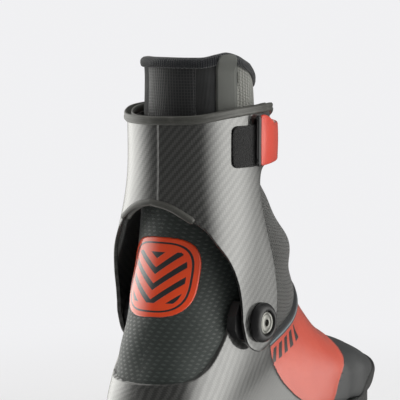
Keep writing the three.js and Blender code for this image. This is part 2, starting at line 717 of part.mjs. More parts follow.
// The strap's width: wide at the free end on the outer side, then down to its neck.
const strapWidthAt = (angle) => {
  const share = Math.min(Math.max((-97 - (angle > 0 ? angle - 360 : angle)) / 26, 0), 1);
  return strapWidth - (strapWidth - strapNeck) * share ** 2 * (3 - 2 * share);
};
const rivets = [["upper", 0.73], ["lower", 0.27]].map(([name, share]) => [
  name,
  [115 * degrees, strapZ(115) + share * strapNeck],
]);
const rivetHoles = rivets.map(([, place]) => pin(place, 2 + gap, -cuffWall - 4, strapOutside + 4));
add("cuff_shell", cut(cuffSheet(0, 0), [...bores, ...rivetHoles]), carbon, 0.12);

// Rubber edging in a channel over the rim, and over the middle of the heel arch.
const edgeLine = (v, out, reach, count) =>
  Array.from({ length: count + 1 }, (_, i) => {
    const u = 0.5 + reach * ((2 * i) / count - 1);
    return cuffPoint(...cuffPlace(u, v), out);
  });
const grownCuff = cuffSheet(gap, 0.006);
const rimRod = rod(edgeLine(1, -cuffWall / 2, 0.497, 40), trimRadius, 36, 8);
add("cuff_rim_trim", biggest(rimRod.subtract(grownCuff)), 0x55564f, 0.6);
const archReach = 0.5 * (2.3 / lastEdge);
const archRod = rod(edgeLine(0, -cuffWall / 2, archReach, 14), trimRadius, 14, 8);
add("heel_arch_trim", biggest(archRod.subtract(grownCuff)), 0x6a6b66, 0.6);

// Foam between the cuff and the collar.
const padSheet = sheet(
  (u, v) => cuffPoint((2 * u - 1) * 84 * degrees, 182 + v * (rimHeight - 12 - 182), -cuffWall - gap),
  (u, v) => cuffPoint((2 * u - 1) * 84 * degrees, 182 + v * (rimHeight - 12 - 182), -cuffWall - 15),
  24,
  3,
);
const padTools = [upperLoft(gap), grownCuff, ...rivetHoles];
add("cuff_pad", biggest(cut(padSheet, padTools).intersect(aboveArc(splitRadius))), black, 0.9);

// ---------------------------------------------------------------- strap

const band = (from, to, out0, out1, low, high, steps) => {
  const face = (out) => (u, v) => {
    const angle = from + (to - from) * u;
    const top = typeof high === "function" ? high(angle) : high;
    return cuffPoint(angle * degrees, strapZ(angle) + low + (top - low) * v, out + strapBulge(angle));
  };
  return sheet(face(out1), face(out0), steps, 3);
};
const strapEnd = anchorAngle + gap - 360;
const patchTop = rimHeight - trimRadius - 1 - strapBottom;
const hookOutside = strapInside - gap;
const hookTop = (angle) => strapWidthAt(angle) - 3;
const strapPieces = [
  ["cuff_strap", [-93.6, strapEnd, strapInside, strapOutside, 0, strapWidthAt, 40], red, 0.35],
  ["strap_pull_tab", [-89.8, -93.3, hookOutside, strapOutside + 0.5, 0, strapWidth, 2], black, 0.6],
  ["strap_hook_pad", [-95, -114, hookOutside - hookThickness, hookOutside, 2, hookTop, 8], black, 0.95],
  ["strap_loop_patch", [-68, -115, 1.5 * gap, 1.5 * gap + 0.7, 0, patchTop, 12], black, 0.95],
];
for (const [name, reach, colour, roughness] of strapPieces) add(name, band(...reach), colour, roughness);
add(
  "strap_anchor_plate",
  cut(band(plateSpan[0], plateSpan[1], 1.5 * gap, strapOutside, 1, strapNeck - 1, 5), rivetHoles),
  black, 0.4,
);
for (const [name, place] of rivets) {
  const shank = pin(place, 2, -cuffWall - 0.6, strapOutside + 1.4);
  const head = pin(place, 4.2, strapOutside + 2 * gap, strapOutside + 1.8);
  add("strap_rivet_" + name, shank.add(head), steel, 0.3, 1);
}

// ---------------------------------------------------------------- pivots

const capFloor = armOutside + gap;
const spacerLobe = [
  [0, pivotHeight + 13], [-20, pivotHeight + 15], [-26, pivotHeight + 6], [-26.5, pivotHeight - 3],
  [-22, pivotHeight - 9], [0, pivotHeight - 13],
];
const hexagon = (side) => {
  const geometry = new THREE.CylinderGeometry(2.6, 2.6, 10, 6);
  geometry.translate(pivotX, side * (capFloor + 7.6), pivotHeight);
  return solidOf(geometry);
};
for (const [name, side] of sides) {
  const reach = (face) => (side > 0 ? [ankleHalfWidth - 2, face] : [-face, 2 - ankleHalfWidth]);
  const round = sideCut(earArc(10, 350, 17), ...reach(spacerFace));
  const spacer = side > 0 ? round : round.add(sideCut(spacerLobe, ...reach(spacerFace - 1.6)));
  const spacerTools = [upperLoft(2 * gap + frameWall), ...pivotHoles];
  add("pivot_spacer_" + name, biggest(cut(spacer, spacerTools)), black, 0.8);
  const nut = ring(screwRadius + gap, nutRadius, nutInside, nutInside + nutThickness);
  const bushing = ring(screwRadius + gap, boreRadius - gap, armInside, armOutside);
  add("pivot_nut_" + name, turned(nut, side), steel, 0.4, 1);
  add("pivot_bushing_" + name, turned(bushing, side), steel, 0.3, 1);
  const screw = turned(
    [[0, nutInside], [screwRadius, nutInside], [screwRadius, capFloor], [screwHeadRadius, capFloor],
      [screwHeadRadius, capFloor + 4], [screwHeadRadius - 1, capFloor + 4.8], [0, capFloor + 4.8]],
    side,
  ).subtract(hexagon(side));
  add("pivot_screw_" + name, screw, steel, 0.25, 1);
  const r = screwHeadRadius + gap;
  const cap = turned(
    [[r, capFloor], [capRadius, capFloor], [capRadius, capFloor + 2.4], [capRadius - 1.2, capFloor + 4.4],
      [capRadius - 3, capFloor + capHeight], [r, capFloor + capHeight - 0.6]],
    side,
  );
  add("pivot_cap_" + name, cap, black, 0.35);
}

// ---------------------------------------------------------------- zip slider and its pull

// Both lie on the zip's straight run, +X down the run and +Z away from it.
const zipHead = new THREE.Group();
zipHead.position.set(ankleX + zipTop[0], 0, zipTop[1]);
zipHead.rotation.y = zipSlope;
boot.add(zipHead);

function addOnZip(name, geometries, color, roughness, metalness) {
  const solid = geometries.map(solidOf).reduce((a, b) => a.add(b));
  const material = new THREE.MeshStandardMaterial({ color, roughness, metalness });
  const mesh = new THREE.Mesh(geometryOf(solid), material);
  mesh.name = name;
  zipHead.add(mesh);
}
const sliderStart = 8;
const sliderFloor = 2;
const sliderTop = sliderFloor + 2;
const pinHeight = sliderTop + 2;
const pinPlace = sliderStart + 2.5;
const body = new THREE.BoxGeometry(9, 7, 2).translate(sliderStart, 0, sliderFloor + 1);
const posts = [-1, 1].map((side) =>
  new THREE.BoxGeometry(2.2, 1.2, 3.4).translate(pinPlace, side * 2.9, sliderTop + 1.2),
);
const axleRadius = 0.5;
const axle = new THREE.CylinderGeometry(axleRadius, axleRadius, 5.8, 10).translate(pinPlace, 0, pinHeight);
addOnZip("zip_slider", [body, ...posts, axle], steel, 0.35, 1);

// The pull hangs on the slider's axle.
const pullOutline = new THREE.Shape(
  [[-1.5, -0.7], [-0.7, -1.5], [0.7, -1.5], [1.5, -0.9], [15, -0.9], [16, -0.4], [16, 0.4], [15, 0.9],
    [1.5, 0.9], [0.7, 1.5], [-0.7, 1.5], [-1.5, 0.7]].map(([x, z]) => new THREE.Vector2(x, z)),
);
const eyeHole = new THREE.Path();
eyeHole.absarc(0, 0, axleRadius + gap, 0, 2 * PI, true);
pullOutline.holes.push(eyeHole);
const pull = new THREE.ExtrudeGeometry(pullOutline, { depth: 4, bevelEnabled: false, curveSegments: 10 });
pull.rotateX(PI / 2).translate(pinPlace, 2, pinHeight);
addOnZip("zip_pull", [pull], steel, 0.35, 1);

export default boot;
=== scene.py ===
# Looks of a cross country skating boot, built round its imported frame. Metres outside, and the
# forms below are worked out in millimetres from the ankle's middle line and turned to metres last.
import bmesh
import bpy
import json
import math
import mathutils
import numpy as np
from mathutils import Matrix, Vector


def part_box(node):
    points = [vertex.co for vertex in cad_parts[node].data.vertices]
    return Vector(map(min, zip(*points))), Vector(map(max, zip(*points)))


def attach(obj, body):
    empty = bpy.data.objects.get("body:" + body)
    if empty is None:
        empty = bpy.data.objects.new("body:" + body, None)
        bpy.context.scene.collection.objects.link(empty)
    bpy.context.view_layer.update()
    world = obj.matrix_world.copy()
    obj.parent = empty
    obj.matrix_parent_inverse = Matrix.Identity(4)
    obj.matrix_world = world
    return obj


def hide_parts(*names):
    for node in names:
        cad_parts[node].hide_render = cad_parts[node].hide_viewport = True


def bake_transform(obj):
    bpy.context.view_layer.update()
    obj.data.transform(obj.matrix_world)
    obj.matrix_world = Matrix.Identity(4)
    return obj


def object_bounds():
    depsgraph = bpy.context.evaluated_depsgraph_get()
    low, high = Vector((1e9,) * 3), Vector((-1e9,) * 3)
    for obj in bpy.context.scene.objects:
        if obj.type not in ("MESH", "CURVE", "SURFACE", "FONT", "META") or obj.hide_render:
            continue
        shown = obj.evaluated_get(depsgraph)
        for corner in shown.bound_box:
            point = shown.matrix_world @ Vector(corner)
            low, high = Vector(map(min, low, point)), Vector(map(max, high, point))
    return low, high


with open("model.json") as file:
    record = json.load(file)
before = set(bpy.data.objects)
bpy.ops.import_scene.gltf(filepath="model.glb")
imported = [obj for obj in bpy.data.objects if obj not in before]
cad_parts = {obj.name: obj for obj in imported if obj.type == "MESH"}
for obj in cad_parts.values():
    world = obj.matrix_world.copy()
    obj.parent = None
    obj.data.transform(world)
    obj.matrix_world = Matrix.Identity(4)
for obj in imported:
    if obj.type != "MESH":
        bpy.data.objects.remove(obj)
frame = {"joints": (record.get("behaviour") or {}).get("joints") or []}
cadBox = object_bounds()
joints = {joint["name"]: joint for joint in frame["joints"]}
pivot = np.array(joints["cuff_flex"]["pos_m"]) * 1000
ankleX = pivot[0] + 3
heelReach = ankleX - cadBox[0][0] * 1000
toeReach = cadBox[1][0] * 1000 - ankleX
ankleHeight = pivot[2] - 4
hingeX, hingeZ = pivot[0] - ankleX, pivot[2]
splitRadius, splitGrowth = 95, 7
cuffWall = 2.4
# Patterns on the cuff and strap are measured round a circle of this radius.
wrapRadius = 50
shaftHeight = 262.0
upperBottom = 17.0
rimHeight = 223.0
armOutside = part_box("cuff_shell")[1][1] * 1000 - 0.1
print("frame", np.round(cadBox, 4).tolist())


# ---- forms shared by several pieces

# A smooth curve through rows of [place, value], its slopes taken from the neighbouring rows.
def through(rows):
    at = np.array([r[0] for r in rows], float)
    to = np.array([r[1] for r in rows], float)
    before = np.maximum(np.arange(len(at)) - 1, 0)
    after = np.minimum(np.arange(len(at)) + 1, len(at) - 1)
    slope = (to[after] - to[before]) / (at[after] - at[before])

    def value(t):
        t = np.asarray(t, float)
        i = np.clip(np.searchsorted(at, t), 1, len(at) - 1)
        h = at[i] - at[i - 1]
        s = np.clip((t - at[i - 1]) / h, 0, 1)
        return (to[i - 1] * (1 + 2 * s) * (1 - s) ** 2 + slope[i - 1] * h * s * (1 - s) ** 2
                + to[i] * s * s * (3 - 2 * s) + slope[i] * h * s * s * (s - 1))
    return value


def columns(table):
    return [through([(i, row[k]) for i, row in enumerate(table)]) for k in range(len(table[0]))]


def smooth(low, high, x):
    s = np.clip((x - low) / (high - low), 0, 1)
    return s * s * (3 - 2 * s)


# Superellipse: the reach in direction (c, s) is (|c|^n + |s|^n)^(-1/n).
def reach(c, s, n):
    return (np.abs(c) ** n + np.abs(s) ** n) ** (-1 / n)


def shaft(share):
    return ankleHeight + share * (shaftHeight - ankleHeight)


def foot(share):
    return share * toeReach


# The soft upper's flat sections: rear x, rear z, front x, front z, half width, middle y, rear squareness.
halfAnkle = 41.5
upperTable = [
    [-36.5, shaft(1.08), 32.5, shaft(1.06), 35, 0, 2],
    [-37.5, shaft(0.83), 36, shaft(0.84), 35.5, 0, 2],
    [-40, shaft(0.6), 41, shaft(0.64), 36, 0, 2],
    [-42.5, shaft(0.41), 54, shaft(0.475), 37, 0, 2],
    [-48, shaft(0.24), 71, shaft(0.37), 39.5, 0, 2],
    [-55, shaft(0.11), 81, shaft(0.28), halfAnkle, 0, 2],
    [-62, 84, 87.5, shaft(0.19), halfAnkle, 0, 2.1],
    [-69, 55, 92.5, shaft(0.13), halfAnkle - 0.6, 0, 2.4],
    [-73, 34, 99, 102, halfAnkle - 2, 0, 3],
    [-60, upperBottom, 106, 93, halfAnkle - 4, 0, 4.5],
    [-20, upperBottom, foot(0.545), 84, halfAnkle - 4, 0, 6],
    [30, upperBottom, foot(0.585), 75, 40, 1, 6],
    [80, upperBottom, foot(0.65), 66.5, 44, 3, 6],
    [foot(0.59), upperBottom, foot(0.745), 59.5, 45, 4, 6],
    [foot(0.76), upperBottom + 1, foot(0.84), 52, 41, 6, 5],
    [foot(0.905), upperBottom + 4, foot(0.925), 42, 28, 8, 3],
    [foot(0.965), upperBottom + 9, foot(0.967), 34, 12, 9, 2.4],
]
upperColumns = columns(upperTable)
lastStation = len(upperTable) - 1


# A point of the upper: along its section at station t, at an angle from the front towards the inner
# side, with the section's two half axes grown by `grow`.
def upperPoint(t, angle, grow=0.0):
    t, angle = np.broadcast_arrays(np.asarray(t, float), np.asarray(angle, float))
    rearX, rearZ, frontX, frontZ, halfWidth, middleY, square = [column(t) for column in upperColumns]
    alongX, alongZ = frontX - rearX, frontZ - rearZ
    length = np.hypot(alongX, alongZ)
    half = length / 2 + grow
    c, s = np.cos(angle), np.sin(angle)
    r = reach(c, s, np.where(c < 0, square, 2))
    x = (rearX + frontX) / 2 + alongX / length * r * c * half + grow * np.maximum(0, t - lastStation + 1)
    z = (rearZ + frontZ) / 2 + alongZ / length * r * c * half
    return np.stack([x, middleY + r * s * (halfWidth + grow), z], -1)


cuffTable = [
    [ankleHeight - 30, 57, armOutside + 0.1, 4],
    [ankleHeight + 24, 57, armOutside + 0.1, 4],
    [ankleHeight + 42, 57, armOutside - 0.8, 3.2],
    [ankleHeight + 62, 56, armOutside - 3.4, 2.5],
    [ankleHeight + 84, 54.5, armOutside - 6.6, 2.2],
    [ankleHeight + 104, 53.5, armOutside - 8.2, 2.1],
    [rimHeight, 53.5, armOutside - 8.2, 2.1],
    [rimHeight + 15, 54, armOutside - 8, 2.1],
]
cuffLength, cuffWidth, cuffSquare = [through([(r[0], r[k]) for r in cuffTable]) for k in (1, 2, 3)]


# A point of the cuff's outer face, at an angle in degrees from the back towards the inner side.
def cuffPoint(angle, z, out=0.0):
    a = np.radians(angle)
    c, s = -np.cos(a), np.sin(a)
    r = reach(c, s, cuffSquare(z))
    return np.stack([r * c * (cuffLength(z) + out), r * s * (cuffWidth(z) + out), z + 0 * a], -1)


strapLow, strapWide, strapNeck, strapClimb = 192.5, 33.0, 25.0, 3.0
armRadius, pivotRise = 18.5, 4.0
cuffTurn = math.radians(57)
armAngle = 90 + hingeX / cuffTurn
armTurn = armRadius / cuffTurn
armCorner = armRadius * math.sqrt(0.5)
cornerTurn = armCorner / cuffTurn
low = strapLow - ankleHeight
cuffEdgeTable = [
    [0, 84, 0], [17, 81, 16], [32, 74, 30], [44, 66, 41], [51, 57, 49], [58, 47, 55], [62.5, 37, 59],
    [66, 24, 62], [67.5, 13, 65], [armAngle - armTurn, pivotRise, 67],
    [armAngle - cornerTurn, pivotRise - armCorner, 69], [armAngle, pivotRise - armRadius, 71.5],
    [armAngle + cornerTurn, pivotRise - armCorner, 74], [armAngle + armTurn, pivotRise, 76.5],
    [107, 17, 79], [105.5, 31, 81.5], [103.5, 45, 84], [101, 60, 86.5], [99, 76, 89.5], [99, 92, 93],
    [103, low - 3, 98], [113, low + 1, 112], [127, low + 2, 127], [140, low + 5, 139], [146, low + 12, 146],
]
edgeAngle, edgeRise, rimAngle = columns(cuffEdgeTable)
lastEdge = len(cuffEdgeTable) - 1
rimZ = through([(0, rimHeight - 1), (40, rimHeight), (70, rimHeight + 3.5), (100, rimHeight + 5),
                (125, rimHeight + 5), (146, rimHeight)])


# Where the cuff is at (u, v): u from the outer wing round the back to the inner wing, v from the
# lower edge (0) to the rim (1), straight between the two.
def cuffPlace(u, v):
    row = np.abs(2 * u - 1) * lastEdge
    angle = edgeAngle(row) * (1 - v) + rimAngle(row) * v
    z = (ankleHeight + edgeRise(row)) * (1 - v) + rimZ(rimAngle(row)) * v
    return np.where(u < 0.5, -1, 1) * angle, z


# ---- mesh building

# A mesh object from points in millimetres from the ankle line. marks are one value per point, uvTable
# is cloth places with the faces' rows in them, and extra is triangles added to the faces.
def meshOf(name, points, faces, marks=None, toward=None, uvTable=None, extra=()):
    where = np.asarray(points, float).reshape(-1, 3) / 1000
    where[:, 0] += ankleX / 1000
    faces, extra = np.asarray(faces), np.asarray(extra, int).reshape(-1, 3)
    uv, uvFaces = uvTable or (None, faces)
    if toward is not None:
        corner = where[faces[:, :3]]
        across = np.cross(corner[:, 1] - corner[:, 0], corner[:, 2] - corner[:, 0])
        away = corner.mean(1) - (np.array(toward) + np.array([ankleX, 0, 0])) / 1000
        if (across * away).sum() < 0:
            faces, uvFaces, extra = faces[:, ::-1], uvFaces[:, ::-1], extra[:, ::-1]
    mesh = bpy.data.meshes.new(name)
    mesh.from_pydata(where.tolist(), [], faces.tolist() + extra.tolist())
    if uv is not None:
        layer = mesh.uv_layers.new(name="UVMap")
        table = np.asarray(uv, float).reshape(-1, 2)
        spare = np.repeat(table[uvFaces[-1:, :1].ravel()], extra.size, 0)
        layer.data.foreach_set("uv", np.concatenate([table[uvFaces.ravel()], spare]).ravel())
    for mark, values in (marks or {}).items():
        layer = mesh.attributes.new(mark, "FLOAT", "POINT")
        layer.data.foreach_set("value", np.asarray(values, float).ravel())
    mesh.polygons.foreach_set("use_smooth", np.full(len(faces) + len(extra), True))
    mesh.update()
    obj = bpy.data.objects.new(name, mesh)
    bpy.context.scene.collection.objects.link(obj)
    return obj


def gridFaces(rows, cols, loopRows=False, loopCols=False):
    i = np.arange(rows if loopRows else rows - 1)[:, None]
    j = np.arange(cols if loopCols else cols - 1)[None, :]
    i2, j2 = (i + 1) % rows, (j + 1) % cols
    return np.stack([i * cols + j, i2 * cols + j, i2 * cols + j2, i * cols + j2], -1).reshape(-1, 4)


# A closed tube of rings, with a fan over each end. uv has one more column than the rings have points.
def tubeOf(name, rings, uv, marks=None):
    count, size = rings.shape[:2]
    j = np.arange(size)
    after, last = count * size, (count - 1) * size
    fans = np.concatenate([np.stack([np.full(size, after), (j + 1) % size, j], -1),
                           np.stack([np.full(size, after + 1), last + j, last + (j + 1) % size], -1)])
    ends = np.stack([rings[0].mean(0), rings[-1].mean(0)])
    return meshOf(name, np.concatenate([rings.reshape(-1, 3), ends]), gridFaces(count, size, loopCols=True),
                  marks=marks, uvTable=(uv, gridFaces(count, size + 1)), extra=fans)


# Turns a closed piece's faces outwards; on request welds points closer than `weld` metres, and keeps
# edges sharper than `crease` radians hard.
def faceOut(obj, weld=0, crease=0):
    shape = bmesh.new()
    shape.from_mesh(obj.data)
    if weld:
        bmesh.ops.remove_doubles(shape, verts=shape.verts, dist=weld)
    bmesh.ops.recalc_face_normals(shape, faces=shape.faces)
    if crease:
        for edge in shape.edges:
            edge.smooth = len(edge.link_faces) == 2 and edge.calc_face_angle(0) < crease
    shape.to_mesh(obj.data)
    shape.free()


# Gives a piece its finish, hides the nodes it stands for and hangs it on the body it rides on; slotName is not
# used.
def dress(obj, finish, slotName, body, *nodes):
    obj.data.materials.append(finish)
    if nodes:
        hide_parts(*nodes)
    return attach(obj, body)


# A tube along a path: profile rows are offsets on the path's two side directions.
def sweep(path, sideA, sideB, profile):
    return path[:, None] + sideA[:, None] * profile[None, :, :1] + sideB[:, None] * profile[None, :, 1:]


def unit(v):
    return v / np.maximum(np.linalg.norm(v, axis=-1, keepdims=True), 1e-9)


def slopes(path):
    return unit(np.gradient(path, axis=0))


# ---- surfaces

# One value travelling through a material's nodes; arithmetic on it adds Math nodes.
class Wire:
    def __init__(self, finish, socket):
        self.finish, self.socket = finish, socket

    def math(self, operation, *others):
        values = {0: self, **{i + 1: other for i, other in enumerate(others)}}
        return self.finish.node("ShaderNodeMath", {"operation": operation}, values)

    def __add__(self, other): return self.math("ADD", other)
    def __radd__(self, other): return self.math("ADD", other)
    def __sub__(self, other): return self.math("SUBTRACT", other)
    def __rsub__(self, other): return (self * -1) + other
    def __mul__(self, other): return self.math("MULTIPLY", other)
    def __rmul__(self, other): return self.math("MULTIPLY", other)
    def __truediv__(self, other): return self.math("DIVIDE", other)
    def __pow__(self, other): return self.math("POWER", other)
    def sine(self): return self.math("SINE")
    def size(self): return self.math("ABSOLUTE")
    def floor(self): return self.math("FLOOR")
    def least(self, other): return self.math("MINIMUM", other)
    def most(self, other): return self.math("MAXIMUM", other)
    def wrap(self, low, high): return self.math("WRAP", high, low)

    # `start` below `low`, `stop` above `high`, eased between
    def step(self, low, high, start=0.0, stop=1.0):
        return self.finish.node("ShaderNodeMapRange", {"interpolation_type": "SMOOTHSTEP"},
                                {0: self, 1: low, 2: high, 3: start, 4: stop})

    # 1 within `half` of zero, fading over `soft`
    def line(self, half, soft):
        return 1 - self.size().step(half, half + soft)


# The nodes of a material or of the world, all made by one method.
class Nodes:
    def __init__(self, holder):
        holder.use_nodes = True
        self.tree = holder.node_tree

    def node(self, kind, settings=None, values=None, out=0):
        node = self.tree.nodes.new(kind)
        for key, value in (settings or {}).items():
            setattr(node, key, value)
        for key, value in (values or {}).items():
            if isinstance(value, Wire):
                self.tree.links.new(value.socket, node.inputs[key])
            else:
                node.inputs[key].default_value = value
        return Wire(self, node.outputs[out])

    def parts(self, vector):
        split = self.node("ShaderNodeSeparateXYZ", values={0: vector})
        return [Wire(self, split.socket.node.outputs[i]) for i in range(3)]

    def blend(self, share, one, two):
        tones = [tone if isinstance(tone, Wire) else (*tone, 1) for tone in (one, two)]
        return self.node("ShaderNodeMix", {"data_type": "RGBA"}, {0: share, 6: tones[0], 7: tones[1]}, 2)

    # what the whole tree ends in
    def end(self, node, wire):
        self.tree.links.new(wire.socket, self.tree.nodes[node].inputs[0])


class Finish(Nodes):
    def __init__(self, name, **fixed):
        self.material = bpy.data.materials.new(name)
        super().__init__(self.material)
        self.shader = self.tree.nodes["Principled BSDF"]
        for socket, value in fixed.items():
            self.shader.inputs[socket.replace("_", " ")].default_value = value

    # object place in millimetres
    def place(self):
        spot = self.node("ShaderNodeTexCoord", out="Object")
        return self.node("ShaderNodeVectorMath", {"operation": "MULTIPLY"},
                         {0: spot, 1: (1000, 1000, 1000)})

    def cloth(self):
        spot = self.node("ShaderNodeTexCoord", out="UV")
        return self.parts(spot)[:2]

    def mark(self, name):
        return self.node("ShaderNodeAttribute", {"attribute_name": name}, out="Fac")

    def noise(self, scale, detail=2.0):
        return self.node("ShaderNodeTexNoise",
                         values={"Vector": self.place(), "Scale": scale, "Detail": detail})

    def give(self, socket, value):
        if isinstance(value, Wire):
            self.tree.links.new(value.socket, self.shader.inputs[socket])
        else:
            self.shader.inputs[socket].default_value = value

    def done(self, colour, roughness, height=None, depth=0.3, strength=1.0, **more):
        self.give("Base Color", colour if isinstance(colour, Wire) else (*colour, 1))
        self.give("Roughness", roughness)
        if height is not None:
            bump = self.node("ShaderNodeBump",
                             values={"Strength": strength, "Distance": depth / 1000, "Height": height})
            self.give("Normal", bump)
        for socket, value in more.items():
            self.give(socket.replace("_", " "), value)
        return self.material


# Carbon twill: tows run both ways, each over two and under two, stepping one tow per row; each tow
# is crowned across its width, and the lengthways and crossways tows differ in shade.
def carbonFinish(name, tow=2.1, dark=(0.003, 0.0032, 0.0035), light=(0.06, 0.061, 0.059)):
    f = Finish(name, Coat_Roughness=0.05, Coat_IOR=2.0, Specular_IOR_Level=0.6)
    x, y = f.cloth()
    u, v = x / tow, y / tow
    over = (u.floor() + v.floor()).wrap(0, 4).step(1.49, 1.51)
    crownU = ((u * math.pi).sine()).size()
    crownV = ((v * math.pi).sine()).size()
    crown = over * crownU + (1 - over) * crownV
    fibre = f.noise(1.7, 4.0)
    cloud = f.noise(0.05)
    shade = (over * 0.62 + crown * 0.3 + fibre * 0.25 - 0.12 + cloud * 0.15).most(0).least(1)
    return f.done(f.blend(shade, dark, light), 0.30 + over * 0.14, crown * 0.6 + over * 0.5, 0.12, 0.5,
                  Coat_Weight=0.82 + over * 0.18, Metallic=0.2 * over + 0.1)


# Softshell embossed with short diamond dashes in staggered rows, and a fine grain between them.
def embossedFinish(name, colour=(0.020, 0.027, 0.025), lit=(0.075, 0.088, 0.082)):
    f = Finish(name, Sheen_Weight=0.25, Sheen_Roughness=0.4)
    x, y = f.cloth()
    row = (y / 2.6).floor()
    across = (x / 5.2 + row * 0.5).wrap(-0.5, 0.5).size() / 0.36
    down = (y / 2.6).wrap(0, 1) - 0.5
    dash = 1 - (across + down.size() / 0.34).step(0.75, 1.05)
    grain = f.noise(1.3, 3)
    patch = f.noise(0.03)
    back = f.mark("seamBack").line(0.5, 0.5)
    colourMix = f.blend((dash * 0.5 + grain * 0.35 + patch * 0.25 - 0.15).most(0).least(1), colour, lit)
    height = dash * 0.8 + grain * 0.25 - back * 0.15
    return f.done(colourMix, 0.62 - dash * 0.2, height, 0.35, 0.8)


# Ripstop: a plain weave with a heavier thread each `cell` both ways.
def ripstopFinish(name, colour=(0.008, 0.0085, 0.010), lit=(0.032, 0.033, 0.036), cell=1.9):
    f = Finish(name, Sheen_Weight=0.3, Sheen_Roughness=0.35)
    x, y = f.cloth()
    grid = (x / cell).wrap(-0.5, 0.5).line(0.05, 0.09).most((y / cell).wrap(-0.5, 0.5).line(0.05, 0.09))
    weave = ((x * 7.0).sine() * (y * 7.0).sine()) * 0.5 + 0.5
    patch = f.noise(0.04)
    seam = f.mark("seam")
    # Along each seam the cloth is sunk and also painted darker: painted shade in the seam's groove.
    grooveShade = seam.line(0.35, 0.5)
    thread = (seam.size() - 2.2).line(0.22, 0.2) * (y / 2.6).wrap(0, 1).step(0.3, 0.36)
    share = (grid * 0.55 + weave * 0.12 + patch * 0.4 - 0.12 + thread * 0.6 - grooveShade).most(0).least(1)
    return f.done(f.blend(share, colour, lit), 0.6 - grid * 0.12,
                  grid + weave * 0.3 + thread * 1.5 - grooveShade * 3, 0.22, 0.8)


# Spacer mesh: staggered round holes in a knitted face, with painted shade in the holes and in the grooves between
# the ribs.
def meshFinish(name, colour=(0.03, 0.031, 0.03), lit=(0.2, 0.205, 0.19), cell=2.3, ribs=0.0):
    f = Finish(name, Sheen_Weight=0.35, Sheen_Roughness=0.45)
    x, y = f.cloth()
    row = (y / cell).floor()
    a = (x / cell + row * 0.5).wrap(-0.5, 0.5)
    b = (y / cell).wrap(-0.5, 0.5)
    hole = 1 - ((a * a + b * b) ** 0.5).step(0.2, 0.34)
    rib = ((x * (2 * math.pi / 3.1)).sine() * 0.5 + 0.5) * ribs
    yarn = ((x * 6.1 + y * 2.0).sine() * (y * 6.1).sine()) * 0.5 + 0.5
    patch = f.noise(0.05)
    # Painted shade: the holes and the grooves between the ribs are coloured darker than the knitted face.
    share = (1 - hole * 0.75 - rib * 0.4) * (0.72 + patch * 0.5) + yarn * 0.1 - 0.05
    return f.done(f.blend(share.most(0).least(1), colour, lit), 0.82, (1 - hole) + yarn * 0.25 - rib * 1.2,
                  0.45, 0.9)


# Smooth knit or softshell: fine wales one way, with a little cloud in its shade.
def knitFinish(name, colour, lit, wale=1.1, sheen=0.35, roughness=0.85, depth=0.25):
    f = Finish(name, Sheen_Weight=sheen, Sheen_Roughness=0.4)
    x, y = f.cloth()
    wales = (x * (2 * math.pi / wale)).sine() * 0.5 + 0.5
    stitches = ((y * (2 * math.pi / wale) + (x * (math.pi / wale)).sine() * 1.6).sine()) * 0.5 + 0.5
    patch = f.noise(0.06)
    share = (wales * 0.3 + stitches * 0.25 + patch * 0.8 - 0.25).most(0).least(1)
    return f.done(f.blend(share, colour, lit), roughness, wales + stitches * 0.6, depth, 0.7)


# Coated cloth: a shiny skin with a faint weave, scuffs and creases in it.
def coatedFinish(name, colour, lit, roughness=0.28, coat=0.5, graphic=None, ink=(0.03, 0.02, 0.02)):
    f = Finish(name, Coat_Roughness=0.12)
    x, y = f.cloth()
    weave = ((x * 5.2).sine() * (y * 5.2).sine()) * 0.5 + 0.5
    patch = f.noise(0.035)
    scuff = f.noise(0.9, 5).step(0.62, 0.8)
    tone = f.blend((patch * 0.7 + weave * 0.12 + scuff * 0.15).most(0).least(1), colour, lit)
    height = weave * 0.4 + f.noise(0.22, 3) * 1.4
    if graphic:
        mask = graphic(f)
        tone = f.blend(mask, tone, ink)
        height = height + mask * 0.5
    return f.done(tone, roughness + scuff * 0.2 + weave * 0.05, height, 0.25, 0.6, Coat_Weight=coat)


# Moulded rubber or plastic: fine spark grain, worn lighter in patches.
def mouldedFinish(name, colour, lit, roughness=0.55, grain=1.4, depth=0.12, coat=0.0):
    f = Finish(name, Coat_Roughness=0.2)
    grains = f.noise(grain, 4)
    wear = f.noise(0.12, 4).step(0.5, 0.8)
    return f.done(f.blend((grains * 0.35 + wear * 0.5).most(0).least(1), colour, lit),
                  roughness + wear * 0.12 - grains * 0.05, grains, depth, 0.6, Coat_Weight=coat)


# Turned steel: fine rings round the pivot axis, in its bumps and roughness.
def turnedFinish(name, centre, colour=(0.16, 0.16, 0.15), lit=(0.34, 0.34, 0.32), ringed=True):
    f = Finish(name)
    x, y, z = f.parts(f.place())
    far = ((x - centre[0]) ** 2 + (z - centre[1]) ** 2) ** 0.5
    rings = (far * 9.0 if ringed else x * 5.0).sine() * 0.5 + 0.5
    smear = f.noise(0.5, 4)
    return f.done(f.blend(smear * 0.8, colour, lit), 0.28 + smear * 0.14 + rings * 0.05, rings + smear,
                  0.03, 0.4, Metallic=1.0)


# Hook and loop: a dense felt of tiny curls.
def curlFinish(name, colour=(0.002, 0.002, 0.0025), lit=(0.016, 0.016, 0.017)):
    f = Finish(name, Sheen_Weight=0.12, Sheen_Roughness=0.6)
    curls = f.node("ShaderNodeTexVoronoi", {"feature": "SMOOTH_F1"}, {"Vector": f.place(), "Scale": 1.3})
    fuzz = f.noise(2.4, 5)
    return f.done(f.blend((fuzz * 0.7 + curls * 0.4 - 0.2).most(0).least(1), colour, lit), 0.95,
                  fuzz + curls, 0.8, 1.0)


